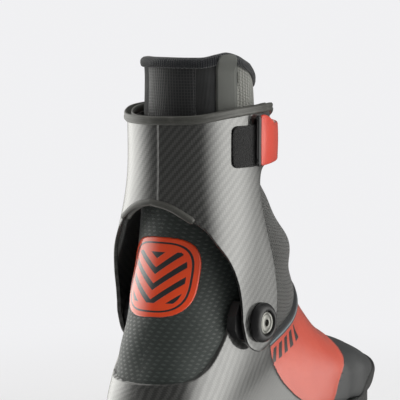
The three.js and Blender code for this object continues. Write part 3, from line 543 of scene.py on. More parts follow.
# The badge: orange-red with a thin dark ring set in from its edge and three stacked chevrons.
def badgeFinish(name):
    f = Finish(name, Coat_Roughness=0.05)
    x, y = f.cloth()
    edge = f.mark("fromEdge")
    ring = (edge - 3.4).line(0.45, 0.2)
    rise = (y - x.size() * 0.75 + 6.0)
    bars = (rise / 10.0).wrap(-0.5, 0.5).line(0.2, 0.03)
    inside = edge.step(6.0, 6.3) * (1 - (y.size() - 16.0).step(-0.2, 0.2))
    ink = ring.most(bars * inside)
    cloud = f.noise(0.08)
    tone = f.blend(cloud, (0.80, 0.05, 0.008), (0.90, 0.085, 0.014))
    return f.done(f.blend(ink, tone, (0.018, 0.022, 0.024)), 0.3 + cloud * 0.1, 1 - ink * 0.8, 0.3, 0.8,
                  Coat_Weight=0.7)


carbon = carbonFinish("carbonTwill", 1.5)
heelCloth = embossedFinish("embossedSoftshell")
ripstop = ripstopFinish("blackRipstop")
softshell = knitFinish("blackSoftshell", (0.010, 0.011, 0.012), (0.045, 0.046, 0.048), 0.9)
greyPanel = knitFinish("greyStretch", (0.075, 0.078, 0.072), (0.11, 0.114, 0.105), 0.7, 0.2, 0.6, 0.08)
# Painted light: the tongue's mesh is the instep's black mesh in a paler grey, a lit copy of it.
tongueMesh = meshFinish("lightMesh", (0.10, 0.102, 0.094), (0.27, 0.272, 0.25), 2.0, 0.8)
instepMesh = meshFinish("greyMesh", (0.006, 0.0065, 0.0065), (0.045, 0.046, 0.043), 2.6)
bindingKnit = knitFinish("navyKnit", (0.006, 0.007, 0.009), (0.028, 0.030, 0.036), 1.5, 0.35, 0.9, 0.5)
liningCloth = knitFinish("liningKnit", (0.012, 0.013, 0.016), (0.045, 0.047, 0.055), 1.4)
toeCloth = coatedFinish("charcoalCoated", (0.018, 0.019, 0.02), (0.075, 0.078, 0.082), 0.5, 0.1)
edgeRubber = mouldedFinish("greyRubber", (0.05, 0.05, 0.045), (0.14, 0.14, 0.13), 0.42, 1.1, 0.06)
darkRubber = mouldedFinish("treadRubber", (0.014, 0.014, 0.015), (0.06, 0.06, 0.06), 0.7)
blackPlastic = mouldedFinish("blackPlastic", (0.008, 0.008, 0.009), (0.04, 0.04, 0.042), 0.38, 2.0, 0.05)
steelFinish = turnedFinish("turnedSteel", (pivot[0], pivot[2]))
steelPlain = turnedFinish("plainSteel", (0, 0), ringed=False)
curls = curlFinish("hookAndLoop")
badgeFilm = badgeFinish("badgeFilm")
boardFibre = mouldedFinish("fibreBoard", (0.16, 0.12, 0.07), (0.3, 0.24, 0.16), 0.9)


# Slanted bars on the gaiter's flank, in rows along its upper seam.
def flankBars(f):
    x, y = f.cloth()
    along = f.mark("along")
    down = f.mark("below")
    band = down.step(7, 7.4) * (1 - down.step(17.0, 17.4))
    bars = ((along + down * 0.35) / 9.0).wrap(-0.5, 0.5).line(0.27, 0.03)
    reachBars = along.step(8, 8.4) * (1 - along.step(50, 50.4))
    return band * bars * reachBars


gaiterCoat = coatedFinish("redCoatedCloth", (0.56, 0.06, 0.035), (0.74, 0.13, 0.08), 0.26, 0.8, flankBars)
strapWeb = coatedFinish("redWebbing", (0.60, 0.035, 0.02), (0.80, 0.10, 0.06), 0.3, 0.5)
print("finishes", len(bpy.data.materials))


# ---- camera, floor and light

yaw, dip = math.radians(34), math.radians(5.5)
sight = np.array([math.cos(dip) * math.cos(yaw), math.cos(dip) * math.sin(yaw), -math.sin(dip)])
cameraData = bpy.data.cameras.new("camera")
cameraData.sensor_width, cameraData.lens = 36, 218.2
camera = bpy.data.objects.new("camera", cameraData)
bpy.context.scene.collection.objects.link(camera)
camera.location = (-1.3776, -0.8868, 0.3212)
camera.rotation_euler = mathutils.Vector(sight).to_track_quat("-Z", "Y").to_euler()
bpy.context.scene.camera = camera
bpy.context.scene.view_settings.view_transform = "Standard"

# The floor is pale and even: a lit paper near the boot that turns to the backdrop's own tone further out.
paper = Finish("paleFloor", Base_Color=(0.80, 0.80, 0.81, 1), Roughness=0.9)
backdrop = (0.875, 0.875, 0.89, 1)
far = paper.node("ShaderNodeVectorMath", {"operation": "LENGTH"},
                 {0: paper.node("ShaderNodeTexCoord", out="Object")}, "Value")
onlySeen = far.step(0.12, 0.55, 0.55, 1.0) * paper.node("ShaderNodeLightPath", out="Is Camera Ray")
glow = paper.node("ShaderNodeEmission", values={0: backdrop})
paper.end("Material Output", paper.node("ShaderNodeMixShader", values={
    0: onlySeen, 1: Wire(paper, paper.shader.outputs[0]), 2: glow}))
floorMesh = bpy.data.meshes.new("floor")
floorCorners, floorDrop = ((-6, -6), (6, -6), (6, 6), (-6, 6)), 0.0002
floorMesh.from_pydata([(x, y, -floorDrop) for x, y in floorCorners],
                      [], [(0, 1, 2, 3)])
floorMesh.materials.append(paper.material)
floor = bpy.data.objects.new("floor", floorMesh)
bpy.context.scene.collection.objects.link(floor)
floor.visible_glossy = False


# A soft panel of light aimed at a point on the boot.
def softbox(name, place, target, width, height, power):
    data = bpy.data.lights.new(name, "AREA")
    data.shape, data.size, data.size_y, data.energy = "RECTANGLE", width, height, power
    lamp = bpy.data.objects.new(name, data)
    bpy.context.scene.collection.objects.link(lamp)
    lamp.location = place
    aim = mathutils.Vector(target) - mathutils.Vector(place)
    lamp.rotation_euler = aim.to_track_quat("-Z", "Y").to_euler()
    lamp.visible_glossy = False


softbox("topPanel", (-0.1, 0.1, 1.4), (-0.05, 0, 0.1), 0.9, 0.9, 6)
softbox("rightPanel", (0.55, -0.95, 0.55), (-0.06, 0, 0.15), 0.5, 0.7, 2.5)

# The studio seen from the boot: two broad soft bands of light, one behind to the left of the camera and one
# to its right, fading upwards and downwards, with the dark side of the room between them.
world = bpy.data.worlds.new("studio")
bpy.context.scene.world = world
sky = Nodes(world)
acrossX, acrossY, upward = sky.parts(sky.node("ShaderNodeTexCoord", out="Generated"))
azimuth = acrossY.math("ARCTAN2", acrossX)
glow = 0.0
for turn, half, power in ((-122, 60, 2.7), (80, 52, 3.0)):
    off = (azimuth - (yaw + math.pi + math.radians(turn))).wrap(-math.pi, math.pi)
    glow = glow + off.size().step(math.radians(6), math.radians(half), power, 0.0)
rise = upward.step(-0.95, -0.3, 0.35, 1.0) * upward.step(0.35, 0.85, 1.0, 0.25)
tone = sky.node("ShaderNodeVectorMath", {"operation": "SCALE"},
                {0: (1.0, 0.995, 0.955), "Scale": glow * rise + 0.13})
sky.end("Background", sky.blend(sky.node("ShaderNodeLightPath", out="Is Camera Ray"), tone, backdrop[:3]))
print("stage set")


# ---- the soft upper, one skin from the collar to the toe

# Nearest place on a line of (x, z) points: how far, positive to the left of its run, how far along it,
# and the nearest point itself.
def besideLine(line, x, z):
    p = np.array(line, float)
    a, b = p[:-1], p[1:]
    run = b - a
    size = np.hypot(*run.T)
    start = np.concatenate([[0], np.cumsum(size)[:-1]])
    dx, dz = x[..., None] - a[:, 0], z[..., None] - a[:, 1]
    s = np.clip((dx * run[:, 0] + dz * run[:, 1]) / size ** 2, 0, 1)
    nearX, nearZ = a[:, 0] + s * run[:, 0], a[:, 1] + s * run[:, 1]
    gap = np.hypot(x[..., None] - nearX, z[..., None] - nearZ)
    k = gap.argmin(-1)[..., None]
    pick = lambda v: np.take_along_axis(np.broadcast_to(v, gap.shape), k, -1)[..., 0]
    side = np.sign(pick(run[:, 0] * dz - run[:, 1] * dx))
    return side * pick(gap), pick(start + s * size), pick(nearX), pick(nearZ)


def smoothLine(line, count=160):
    p = np.array(line, float)
    at = np.concatenate([[0], np.cumsum(np.hypot(*np.diff(p, axis=0).T))])
    s = np.linspace(0, at[-1], count)
    return np.stack([through(np.stack([at, p[:, k]], 1))(s) for k in (0, 1)], 1)


armSeam = smoothLine([[4, shaft(0.6)], [4, 150], [3, 120], [8, 88], [18, 72], [30, 50], [44, 10]])
instepSeam = smoothLine([[18, 72], [30, 76], [48, 81], [64, 86], [77, 93], [86, 101], [98, 116]])
toeSeam = smoothLine([[foot(0.5), 10], [foot(0.54), 34], [foot(0.6), 50], [foot(0.67), 62], [foot(0.7), 80]])
earTurn, earRadius = np.radians(np.linspace(155, 20, 24)), 16
ear = np.stack([hingeX + earRadius * np.cos(earTurn), hingeZ + earRadius * np.sin(earTurn)], 1)
frameOutline = np.concatenate([
    smoothLine([[-100, 54], [-70, 56], [-52, 59], [-37, 70], ear[0]], 60),
    ear[1:-1],
    smoothLine([ear[-1], [24, 70], [34, 54], [48, 40], [66, 29],
                [90, 23], [foot(0.62), 18], [toeReach + 10, 18]], 80)])


# Top of the collar at x on the outer or inner side; the outer side has a low hump behind the middle.
def collarTop(x, y):
    hump = 3.5 * smooth(6, -14, y)
    flat = through([[-90, 0], [-30, 0], [3, -2.5], [18, -10.5], [34, -18], [90, -40]])
    wave = through([[-90, 0], [-30, 0], [-22, 0.6], [-15, 1], [-6, 0.6], [3, 0], [90, 0]])
    return shaftHeight + flat(x) + hump * wave(x)


def collarStart(angle, grow=0.0):
    low, high = np.zeros_like(angle), np.full_like(angle, 4.0)
    for _ in range(40):
        t = (low + high) / 2
        p = upperPoint(t, angle, grow)
        above = p[..., 2] > collarTop(p[..., 0], p[..., 1])
        low, high = np.where(above, t, low), np.where(above, high, t)
    return (low + high) / 2


def outward(points, loop=True):
    along = np.gradient(points, axis=0)
    across = (np.roll(points, -1, 1) - np.roll(points, 1, 1)) if loop else np.gradient(points, axis=1)
    n = unit(np.cross(along, across))
    middle = points.mean(1, keepdims=True)
    return n * np.sign((n * (points - middle)).sum())


# Cloth coordinates in millimetres: how far round from the front, and how far down from the top.
def clothPlace(points, front):
    ring = np.concatenate([points, points[:, :1]], 1)
    round_ = np.concatenate([np.zeros((len(ring), 1)),
                             np.cumsum(np.linalg.norm(np.diff(ring, axis=1), axis=-1), 1)], 1)
    down = np.concatenate([np.zeros((1, ring.shape[1])),
                           np.cumsum(np.linalg.norm(np.diff(ring, axis=0), axis=-1), 0)])
    return np.stack([round_ - round_[:, front:front + 1], down], -1)


skinRows, skinCols = ((290, 288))
angles = -math.pi + 2 * math.pi * np.arange(skinCols) / skinCols
startT = collarStart(angles)
share = np.linspace(0, 1, skinRows)[:, None]
skinT = startT + (lastStation - startT) * share
skin = upperPoint(skinT, angles[None])
skinOut = outward(skin)
skinUv = clothPlace(skin, skinCols // 2)

collarAngles = (97, 125, 147)


def seamFields(p):
    x, y, z = p[..., 0], p[..., 1], p[..., 2]
    arm, instep, toe = [besideLine(line, x, z) for line in (armSeam, instepSeam, toeSeam)]
    split = np.hypot(x - hingeX, z - hingeZ) - splitRadius
    split = np.where(z > 110, split - splitGrowth * smooth(40, 75, x), -50)
    turn = np.degrees(np.arctan2(np.abs(y), x + 2))
    far = np.hypot(y, x + 2)
    return arm, instep, toe, split, turn, far


# Grid points close to a seam move onto it, so that the cloths part along a clean line.
arm, instep, toe, split, turn, far = seamFields(skin)
near = 0.75
isFront = arm[0] > 0
for field, use in ((instep, isFront & (split < 0)), (toe, isFront), (arm, split < 0)):
    pull = use & (np.abs(field[0]) < near)
    skin[..., 0] = np.where(pull, field[2], skin[..., 0])
    skin[..., 2] = np.where(pull, field[3], skin[..., 2])
for seamAngle in collarAngles:
    off = np.radians(turn - seamAngle) * far
    pull = (split > 0) & (np.abs(off) < near * 0.7)
    a = np.radians(seamAngle)
    skin[..., 0] = np.where(pull, far * math.cos(a) - 2, skin[..., 0])
    skin[..., 1] = np.where(pull, np.sign(skin[..., 1]) * far * math.sin(a), skin[..., 1])
pull = np.abs(split) < near * 0.7
away = np.stack([skin[..., 0] - hingeX, skin[..., 2] - hingeZ], -1)
away = away / np.linalg.norm(away, axis=-1, keepdims=True) * (splitRadius
                                                              + splitGrowth * smooth(40, 75, skin[..., :1]))
skin[..., 0] = np.where(pull, away[..., 0] + hingeX, skin[..., 0])
skin[..., 2] = np.where(pull, away[..., 1] + hingeZ, skin[..., 2])

arm, instep, toe, split, turn, far = seamFields(skin)
x, y, z = skin[..., 0], skin[..., 1], skin[..., 2]
collarSeam = np.min([np.abs(np.radians(turn - s) * far) for s in collarAngles], 0)
seam = np.where(split > 0, np.minimum(collarSeam, np.abs(split)),
                np.minimum(np.abs(split), np.minimum(np.abs(arm[0]), np.where(
                    arm[0] > 0, np.minimum(np.abs(instep[0]), np.abs(toe[0])), 99))))
# Padding swells between the seams, the stretch panels fold across the ankle, and the collar is soft
# at its top.
swell = 1.5 * (1 - np.exp(-seam / 7))
folds = (0.9 * np.sin(z / 5.3 + 1.5 * np.sin(turn / 21)) * smooth(-6, 20, arm[0])
         * smooth(196, 170, z) * smooth(-4, 8, instep[0]))
creases = 0.55 * np.sin(z / 8.1 + x / 17 + 2 * np.sin(y / 13)) * smooth(150, 120, z) * smooth(4, -10, arm[0])
bulge = 2.2 * np.exp(-((z - 141) / 13) ** 2 - ((turn - 40) / 45) ** 2)
toeCrease = 0.8 * np.sin(x / 4.6 + 0.7 * np.sin(y / 9)) * smooth(118, 128, x) * smooth(160, 146, x)
skinShift = swell + folds + creases + bulge + toeCrease - 1.1
skinShift = skinShift * smooth(0, 0.02, share)
skin = skin + skinOut * skinShift[..., None]

tip = skin[-1].mean(0) + np.array([1.5, 0, 0])
capShare = np.array([0.9, 0.7, 0.45, 0.2])[:, None, None]
toeCap = tip + (skin[-1][None] - tip) * capShare + np.array([4.0, 0, 0]) * (1 - capShare ** 2)
allSkin = np.concatenate([skin, toeCap])
capUv = skinUv[-1:] + np.array([0, 1.0]) * (np.arange(1, 5)[:, None, None] * 3)
skinFaces = gridFaces(skinRows + 4, skinCols, loopCols=True)
tipIndex = (skinRows + 4) * skinCols
ringStart = (skinRows + 3) * skinCols
j = np.arange(skinCols)
fan = np.stack([ringStart + j, np.full(skinCols, tipIndex), ringStart + (j + 1) % skinCols], -1)


# Which cloth lies at a place: 0 heel, 1 instep, 2 gaiter, 3 toe, 4 rear collar, 5 side, 6 flex, 7 tongue.
def clothAt(p):
    arm, instep, toe, split, turn, far = seamFields(p)
    low = np.where(arm[0] < 0, 0, np.where(toe[0] < 0, 3, np.where(instep[0] > 0, 1, 2)))
    high = 4 + (turn < collarAngles[2]).astype(int) + (turn < collarAngles[1]) + (turn < collarAngles[0])
    return np.where(split > 0, high, low)


def wide(values):
    return np.concatenate([values, np.repeat(values[-1:], 4, 0)])


flat = allSkin.reshape(-1, 3)
marks = {"seam": wide(np.minimum(seam, 60)), "seamBack": wide(np.minimum(np.abs(y), 60) + 60 * (x > 0)),
         "along": wide(instep[1]), "below": wide(-instep[0])}
uvIndex = gridFaces(skinRows + 4, skinCols + 1)
softUpper = meshOf("soft_upper", np.concatenate([flat, tip[None] + [4.0, 0, 0]]), skinFaces,
                   marks={k: np.append(v.ravel(), 0) for k, v in marks.items()}, toward=(20, 0, 90),
                   uvTable=(np.concatenate([skinUv, capUv]), uvIndex), extra=fan)
quadCentres = flat[skinFaces].mean(1)
kind = clothAt(quadCentres)
for finish in (heelCloth, instepMesh, gaiterCoat, toeCloth, ripstop, softshell, greyPanel, tongueMesh):
    softUpper.data.materials.append(finish)
fanKind = np.full(skinCols, 3)
softUpper.data.polygons.foreach_set("material_index", np.concatenate([kind, fanKind]).astype(np.int32))
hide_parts("heel_upper", "instep_cover", "front_gaiter", "toe_upper", "collar_rear",
            "collar_side_inner", "collar_side_outer", "collar_flex_inner", "collar_flex_outer",
            "tongue_top", "tongue")
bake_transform(softUpper)
print("soft upper", len(softUpper.data.polygons))


# ---- layers laid on the upper: raised inside their outline, sunk under the cloth outside it

def raisedLayer(name, slotName, nodes, t0, t1, a0, a1, rows, cols, inside, high, finish, low=-1.4, soft=0.8,
                loop=False, extraShift=None):
    t = np.linspace(t0, t1, rows)[:, None]
    a = a0 + (a1 - a0) * (np.arange(cols) / (cols if loop else cols - 1))[None]
    points = upperPoint(t, a)
    normals = outward(points, loop)
    distance, nearX, nearZ = inside(points)
    if nearX is not None:
        pull = np.abs(distance) < soft * 0.6
        points[..., 0] = np.where(pull, nearX, points[..., 0])
        points[..., 2] = np.where(pull, nearZ, points[..., 2])
        distance = np.where(pull, 0.0, distance)
    shift = low + (high - low) * np.sqrt(np.clip(1 - (1 - smooth(-soft, soft, distance + 0.25 * soft)) ** 2,
                                                 0, 1))
    if extraShift is not None:
        shift = shift + extraShift(points, distance)
    points = points + normals * shift[..., None]
    uv = clothPlace(points, cols // 2)
    faces = gridFaces(rows, cols, loopCols=loop)
    uvFaces = gridFaces(rows, cols + 1)
    if not loop:
        uvFaces = uvFaces.reshape(rows - 1, cols, 4)[:, :-1].reshape(-1, 4)
    keep = distance.ravel()[faces].max(1) > -soft * 1.5
    used, packed = np.unique(faces[keep], return_inverse=True)
    obj = meshOf(name, points.reshape(-1, 3)[used], packed.reshape(-1, 4), toward=(20, 0, 70),
                 marks={"fromEdge": distance.ravel()[used]}, uvTable=(uv, uvFaces[keep]))
    return dress(obj, finish, slotName, "boot", *nodes)


def belowOutline(p):
    d, _, nearX, nearZ = besideLine(frameOutline, p[..., 0], p[..., 2])
    return -d, nearX, nearZ


fine = 1
frameLayer = raisedLayer("carbon_frame", "carbon", ["sole_frame"], 4.6, lastStation, -math.pi, math.pi,
                         int(330 * fine), int(300 * fine), belowOutline, 2.6, carbon, loop=True)


badgeHalf, badgeMiddle = 25.0, ankleHeight + 35


def insideBadge(p):
    y, z = p[..., 1] / badgeHalf, (p[..., 2] - badgeMiddle) / badgeHalf
    far = (np.abs(y) ** 3.4 + np.abs(z) ** 3.4) ** (1 / 3.4)
    return np.where(p[..., 0] < 0, (1 - far) * badgeHalf, -40), None, None


badge = raisedLayer("heel_badge_film", "badge", ["heel_badge"], 1.5, 8.5, math.pi * 0.55, math.pi * 1.45,
                    int(260 * fine), int(230 * fine), insideBadge, 1.15, badgeFilm, low=-1.5, soft=0.5)
centre = np.zeros(len(badge.data.vertices) * 3)
badge.data.vertices.foreach_get("co", centre)
centre = centre.reshape(-1, 3) * 1000
uvLayer = badge.data.uv_layers[0].data
loops = np.zeros(len(badge.data.loops), np.int32)
badge.data.loops.foreach_get("vertex_index", loops)
uvLayer.foreach_set("uv", np.stack([centre[loops, 1], centre[loops, 2] - badgeMiddle], 1).ravel())


# Piping: dark tape with a thin pale blue-grey cord along its middle.
def pipingFinish(name):
    f = Finish(name, Sheen_Weight=0.2)
    cord = (f.mark("fromEdge") - 1.9).line(0.55, 0.25)
    grain = f.noise(1.6, 3)
    tone = f.blend(cord, f.blend(grain, (0.006, 0.007, 0.009), (0.03, 0.032, 0.036)), (0.16, 0.21, 0.24))
    return f.done(tone, 0.7 - cord * 0.25, cord + grain * 0.4, 0.3, 0.8)


pipingTape = pipingFinish("pipedTape")


def pipingOn(line, half):
    def inside(p):
        d, _, _, _ = besideLine(line, p[..., 0], p[..., 2])
        return half - np.abs(d), None, None
    return inside


for side, name in ((-1, "outer"), (1, "inner")):
    a = sorted((side * math.radians(14), side * math.radians(135)))
    raisedLayer("seam_piping_" + name, "tape", ["seam_tape"] if side < 0 else [], 4.3, 10.5, a[0], a[1],
                int(420 * fine), int(330 * fine), pipingOn(instepSeam[2:150], 1.9), 1.9, pipingTape,
                low=-0.6, soft=0.9)

zipLine = np.array([[95.5, 106.5], [foot(0.585), 75]])


def insideZip(p):
    d, along, _, _ = besideLine(zipLine, p[..., 0], p[..., 2])
    onCrest = np.where((p[..., 0] > 90) & (p[..., 2] > 60), 1, -1)
    ends = np.minimum(p[..., 0] - 96, foot(0.585) - p[..., 0])
    return np.where(onCrest > 0, np.minimum(5 - np.abs(p[..., 1]), ends), -20), None, None


# Two rows of teeth meet down the middle of the tape, each a small block every 1.7 mm.
def zipTeeth(p, distance):
    run = (p[..., 0] - 96) * math.hypot(1, 31.5 / 25.7) / 1.7
    teeth = 0.8 * smooth(0.25, 0.5, np.abs(((run + 0.5 * (p[..., 1] > 0)) % 1) - 0.5) * 2)
    return teeth * smooth(2.0, 1.6, np.abs(p[..., 1])) - 0.35 * smooth(0.25, 0.1, np.abs(p[..., 1]))


raisedLayer("zip_tape", "black_plastic", ["zip_track"], 7.5, 12, -0.2, 0.2, int(300 * fine),
            int(140 * fine), insideZip, 1.0, blackPlastic, soft=0.4, extraShift=zipTeeth)

guardFoot = [[foot(0.6), 16], [foot(0.7), 18.4], [foot(0.72), 26], [foot(0.8), 36.5], [foot(0.9), 43],
             [toeReach + 14, 47]]
guardLine = smoothLine(guardFoot)


def insideGuard(p):
    d, _, nearX, nearZ = besideLine(guardLine, p[..., 0], p[..., 2])
    return -d, nearX, nearZ


raisedLayer("toe_guard_rubber", "tread", ["toe_guard"], 11, lastStation, -math.pi, math.pi, int(150 * fine),
            int(300 * fine), insideGuard, 2.0, darkRubber, loop=True)
print("layers", len(frameLayer.data.polygons), len(badge.data.polygons))


# ---- lining and collar binding

liningRows, liningCols = 150, 120
la = -math.pi + 2 * math.pi * np.arange(liningCols) / liningCols
lt = collarStart(la)
liningShare = np.linspace(0, 1, liningRows)[:, None]
lining = upperPoint(lt + (15.3 - lt) * liningShare, la[None], -4.6)
lining[..., 2] = np.where(liningShare > 0.3, np.maximum(lining[..., 2], upperBottom + 6.5),
                          lining[..., 2] - 2 * (1 - liningShare))
quilt = 0.6 * np.sin(lining[..., 2] / 5) * smooth(0, 0.1, liningShare)
lining = lining - outward(lining) * quilt[..., None]
liningPiece = meshOf("lining", lining, gridFaces(liningRows, liningCols, loopCols=True),
                     uvTable=(clothPlace(lining, liningCols // 2), gridFaces(liningRows, liningCols + 1)),
                     toward=(20, 0, 90))
liningPiece.data.flip_normals()
liningPiece.data.materials.append(liningCloth)
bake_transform(liningPiece)

ringCount = 360
ra = -math.pi + 2 * math.pi * np.arange(ringCount) / ringCount
rim = upperPoint(collarStart(ra), ra)
sideways = rim - upperPoint(collarStart(ra), ra, -1.0)
sideways[:, 2] = 0
sideways = unit(sideways)
up = np.tile([0.0, 0, 1.0], (ringCount, 1))
knitProfile = np.array([[0.9, -5.6], [1.9, -4.9], [2.4, -3.2], [2.3, -1.6], [1.5, -0.2], [0, 0.9],
                        [-2.2, 1.3], [-4.2, 0.8], [-5.6, -0.8], [-5.9, -3], [-5.4, -5], [-4.5, -5.6],
                        [-2, -4.8]])
bound = sweep(rim, sideways, up, knitProfile)
lumps = 0.22 * np.sin(np.arange(ringCount) * 2 * math.pi * 14 / ringCount)[:, None] * np.sin(np.arange(13)
                                                                                             * 1.1)[None]
bound = bound + sideways[:, None] * lumps[..., None]
roundBinding = np.concatenate([[0], np.cumsum(np.linalg.norm(np.roll(rim, -1, 0) - rim, axis=1))])
bindUv = np.stack(np.broadcast_arrays(roundBinding[:, None], np.linspace(0, 24, 14)[None]), -1)
binding = meshOf("collar_binding_knit", bound, gridFaces(ringCount, 13, True, True),
                 uvTable=(bindUv, gridFaces(ringCount + 1, 14)))
dress(binding, bindingKnit, "binding", "cuff", "collar_binding", "tongue_binding")


# A plain flap lies over the outer stretch panel and folds over the binding at its top.
tabRows, tabCols = 70, 44
tabTurn = np.radians(np.linspace(-126.5, -103, tabCols))[None]
tabDown = np.linspace(0, 1, tabRows)[:, None]
tabT = collarStart(tabTurn[0])[None]
tabBase = upperPoint(tabT + 1.3 * tabDown - 0.02, tabTurn)
tabSide = unit(tabBase - upperPoint(tabT + 1.3 * tabDown - 0.02, tabTurn, -1.0))
tabEdge = np.abs(np.linspace(-1, 1, tabCols))[None]
tabRoundTop = 4.5 * np.clip((tabEdge - 0.55) / 0.45, 0, 1) ** 2 * smooth(0.12, 0, tabDown)
tabOff = 0.5 + 2.7 * smooth(0.22, 0.05, tabDown) - 0.8 * smooth(0.86, 1, tabEdge)
tabFront = tabBase + tabSide * tabOff[..., None]
tabFront[..., 2] += (-0.6 - tabRoundTop) * smooth(0.1, 0, tabDown)
tabBack = tabFront - tabSide * 1.1
tabLoop = np.concatenate([tabFront, tabBack[:, ::-1]], 1)
tabUv = np.stack(np.broadcast_arrays(np.linspace(0, 60, 2 * tabCols + 1)[None],
                                     np.linspace(0, 60, tabRows)[:, None]), -1)
c = 2 * tabCols
k = np.arange(tabCols - 1)
ends = []
for row, turnWay in ((0, 1), (tabRows - 1, -1)):
    o, i = row * c + k, row * c + c - 1 - k
    ends += [np.stack([o, o + 1, i - 1], -1)[:, ::turnWay], np.stack([o, i - 1, i], -1)[:, ::turnWay]]
flap = meshOf("collar_flap", tabLoop, gridFaces(tabRows, c, loopCols=True),
              uvTable=(tabUv, gridFaces(tabRows, c + 1)), extra=np.concatenate(ends))
faceOut(flap)
dress(flap, greyPanel, "grey_fabric", "cuff")


# ---- carbon cuff

uCount, vCount = int(440 * fine), int(64 * fine)
u = np.linspace(0.0008, 0.9992, uCount)[:, None]
v = np.linspace(0, 1, vCount)[None]
cuffAngle, cuffZ = cuffPlace(u, v)
outerFace, innerFace = cuffPoint(cuffAngle, cuffZ, 0), cuffPoint(cuffAngle, cuffZ, -cuffWall)
ridgeShape = 0.7 * np.exp(-((cuffAngle + 8) / 1.2) ** 2)
outerFace = outerFace + np.stack([-ridgeShape, 0 * ridgeShape, 0 * ridgeShape], -1)
# The lower edge is rounded across the shell's thickness.
down = unit(outerFace[:, 0] - outerFace[:, 1])
lowEdge = np.stack([innerFace[:, 0] + (outerFace[:, 0] - innerFace[:, 0]) * k + down * d
                    for k, d in ((0.1, 0.35), (0.35, 0.65), (0.65, 0.65), (0.9, 0.35))], 1)
section = np.concatenate([lowEdge, outerFace, innerFace[:, ::-1]], 1)
sectionCount = section.shape[1]
alongBack = np.radians(cuffAngle) * wrapRadius
cuffUvOut = np.stack([alongBack, cuffZ], -1)
cuffUv = np.concatenate([np.repeat(cuffUvOut[:, :1], 4, 1), cuffUvOut, cuffUvOut[:, ::-1],
                         cuffUvOut[:, :1]], 1)
caps = []
for end, order in ((0, 1), (uCount - 1, -1)):
    base = end * sectionCount
    o = base + 4 + np.arange(vCount)
    i = base + 4 + vCount + np.arange(vCount)[::-1]
    a, b, c, d = o[:-1], o[1:], i[1:], i[:-1]
    caps.append(np.stack([a, b, c], -1)[:, ::order])
    caps.append(np.stack([a, c, d], -1)[:, ::order])
cuffShell = meshOf("carbon_cuff", section, gridFaces(uCount, sectionCount, loopCols=True),
                   uvTable=(cuffUv, gridFaces(uCount, sectionCount + 1)), extra=np.concatenate(caps))
dress(cuffShell, carbon, "carbon", "cuff", "cuff_shell")


def edging(name, node, v, reach, count, profile, taper):
    u = 0.5 + reach * np.linspace(-1, 1, count)
    angle, z = cuffPlace(u, v)
    path = cuffPoint(angle, z, 0)
    inner = cuffPoint(angle, z, -cuffWall)
    out = unit(path - inner)
    rise = unit(np.cross(slopes(path), out)) * (-1 if v else 1)
    scale = (1 - 0.35 * taper * smooth(1 - 4 / count, 1, np.abs(np.linspace(-1, 1, count))))[:, None]
    sized = profile[None] * scale[:, None]
    tube = path[:, None] + out[:, None] * sized[..., :1] + rise[:, None] * sized[..., 1:]
    k = profile.shape[0]
    run = np.concatenate([[0], np.cumsum(np.linalg.norm(np.diff(path, axis=0), axis=1))])
    uv = np.stack(np.broadcast_arrays(run[:, None], np.linspace(0, 20, k + 1)[None]), -1)
    return dress(tubeOf(name, tube, uv), edgeRubber, "trim_rubber", "cuff", node)


rimProfile = np.array([[0.1, -4.2], [1.5, -4.3], [2.1, -3.6], [2.1, -2.8], [1.6, -2.1], [1.7, -1.6],
                       [2.3, -0.9], [2.2, 0.2], [1.2, 1.2], [-1.2, 1.5], [-3.5, 1.2], [-4.4, 0.2],
                       [-4.6, -2.4], [-4.2, -3.9], [-2.6, -4.2], [-2.5, -0.1], [0.1, -0.1]])
edging("rim_edging", "cuff_rim_trim", 1, 0.497, int(360 * fine), rimProfile, 0)
archProfile = np.array([[0.1, -2.2], [1.4, -2.4], [2.1, -1.6], [2.2, -0.4], [1.7, 0.9], [0.4, 1.9],
                        [-1.2, 2.2], [-2.8, 1.9], [-4.1, 0.9], [-4.6, -0.4], [-4.5, -1.6], [-3.8, -2.4],
                        [-2.5, -2.2], [-2.5, 0.1], [0.1, 0.1]])
edging("arch_edging", "heel_arch_trim", 0, 0.5 * (2.3 / lastEdge), int(90 * fine), archProfile, 1)


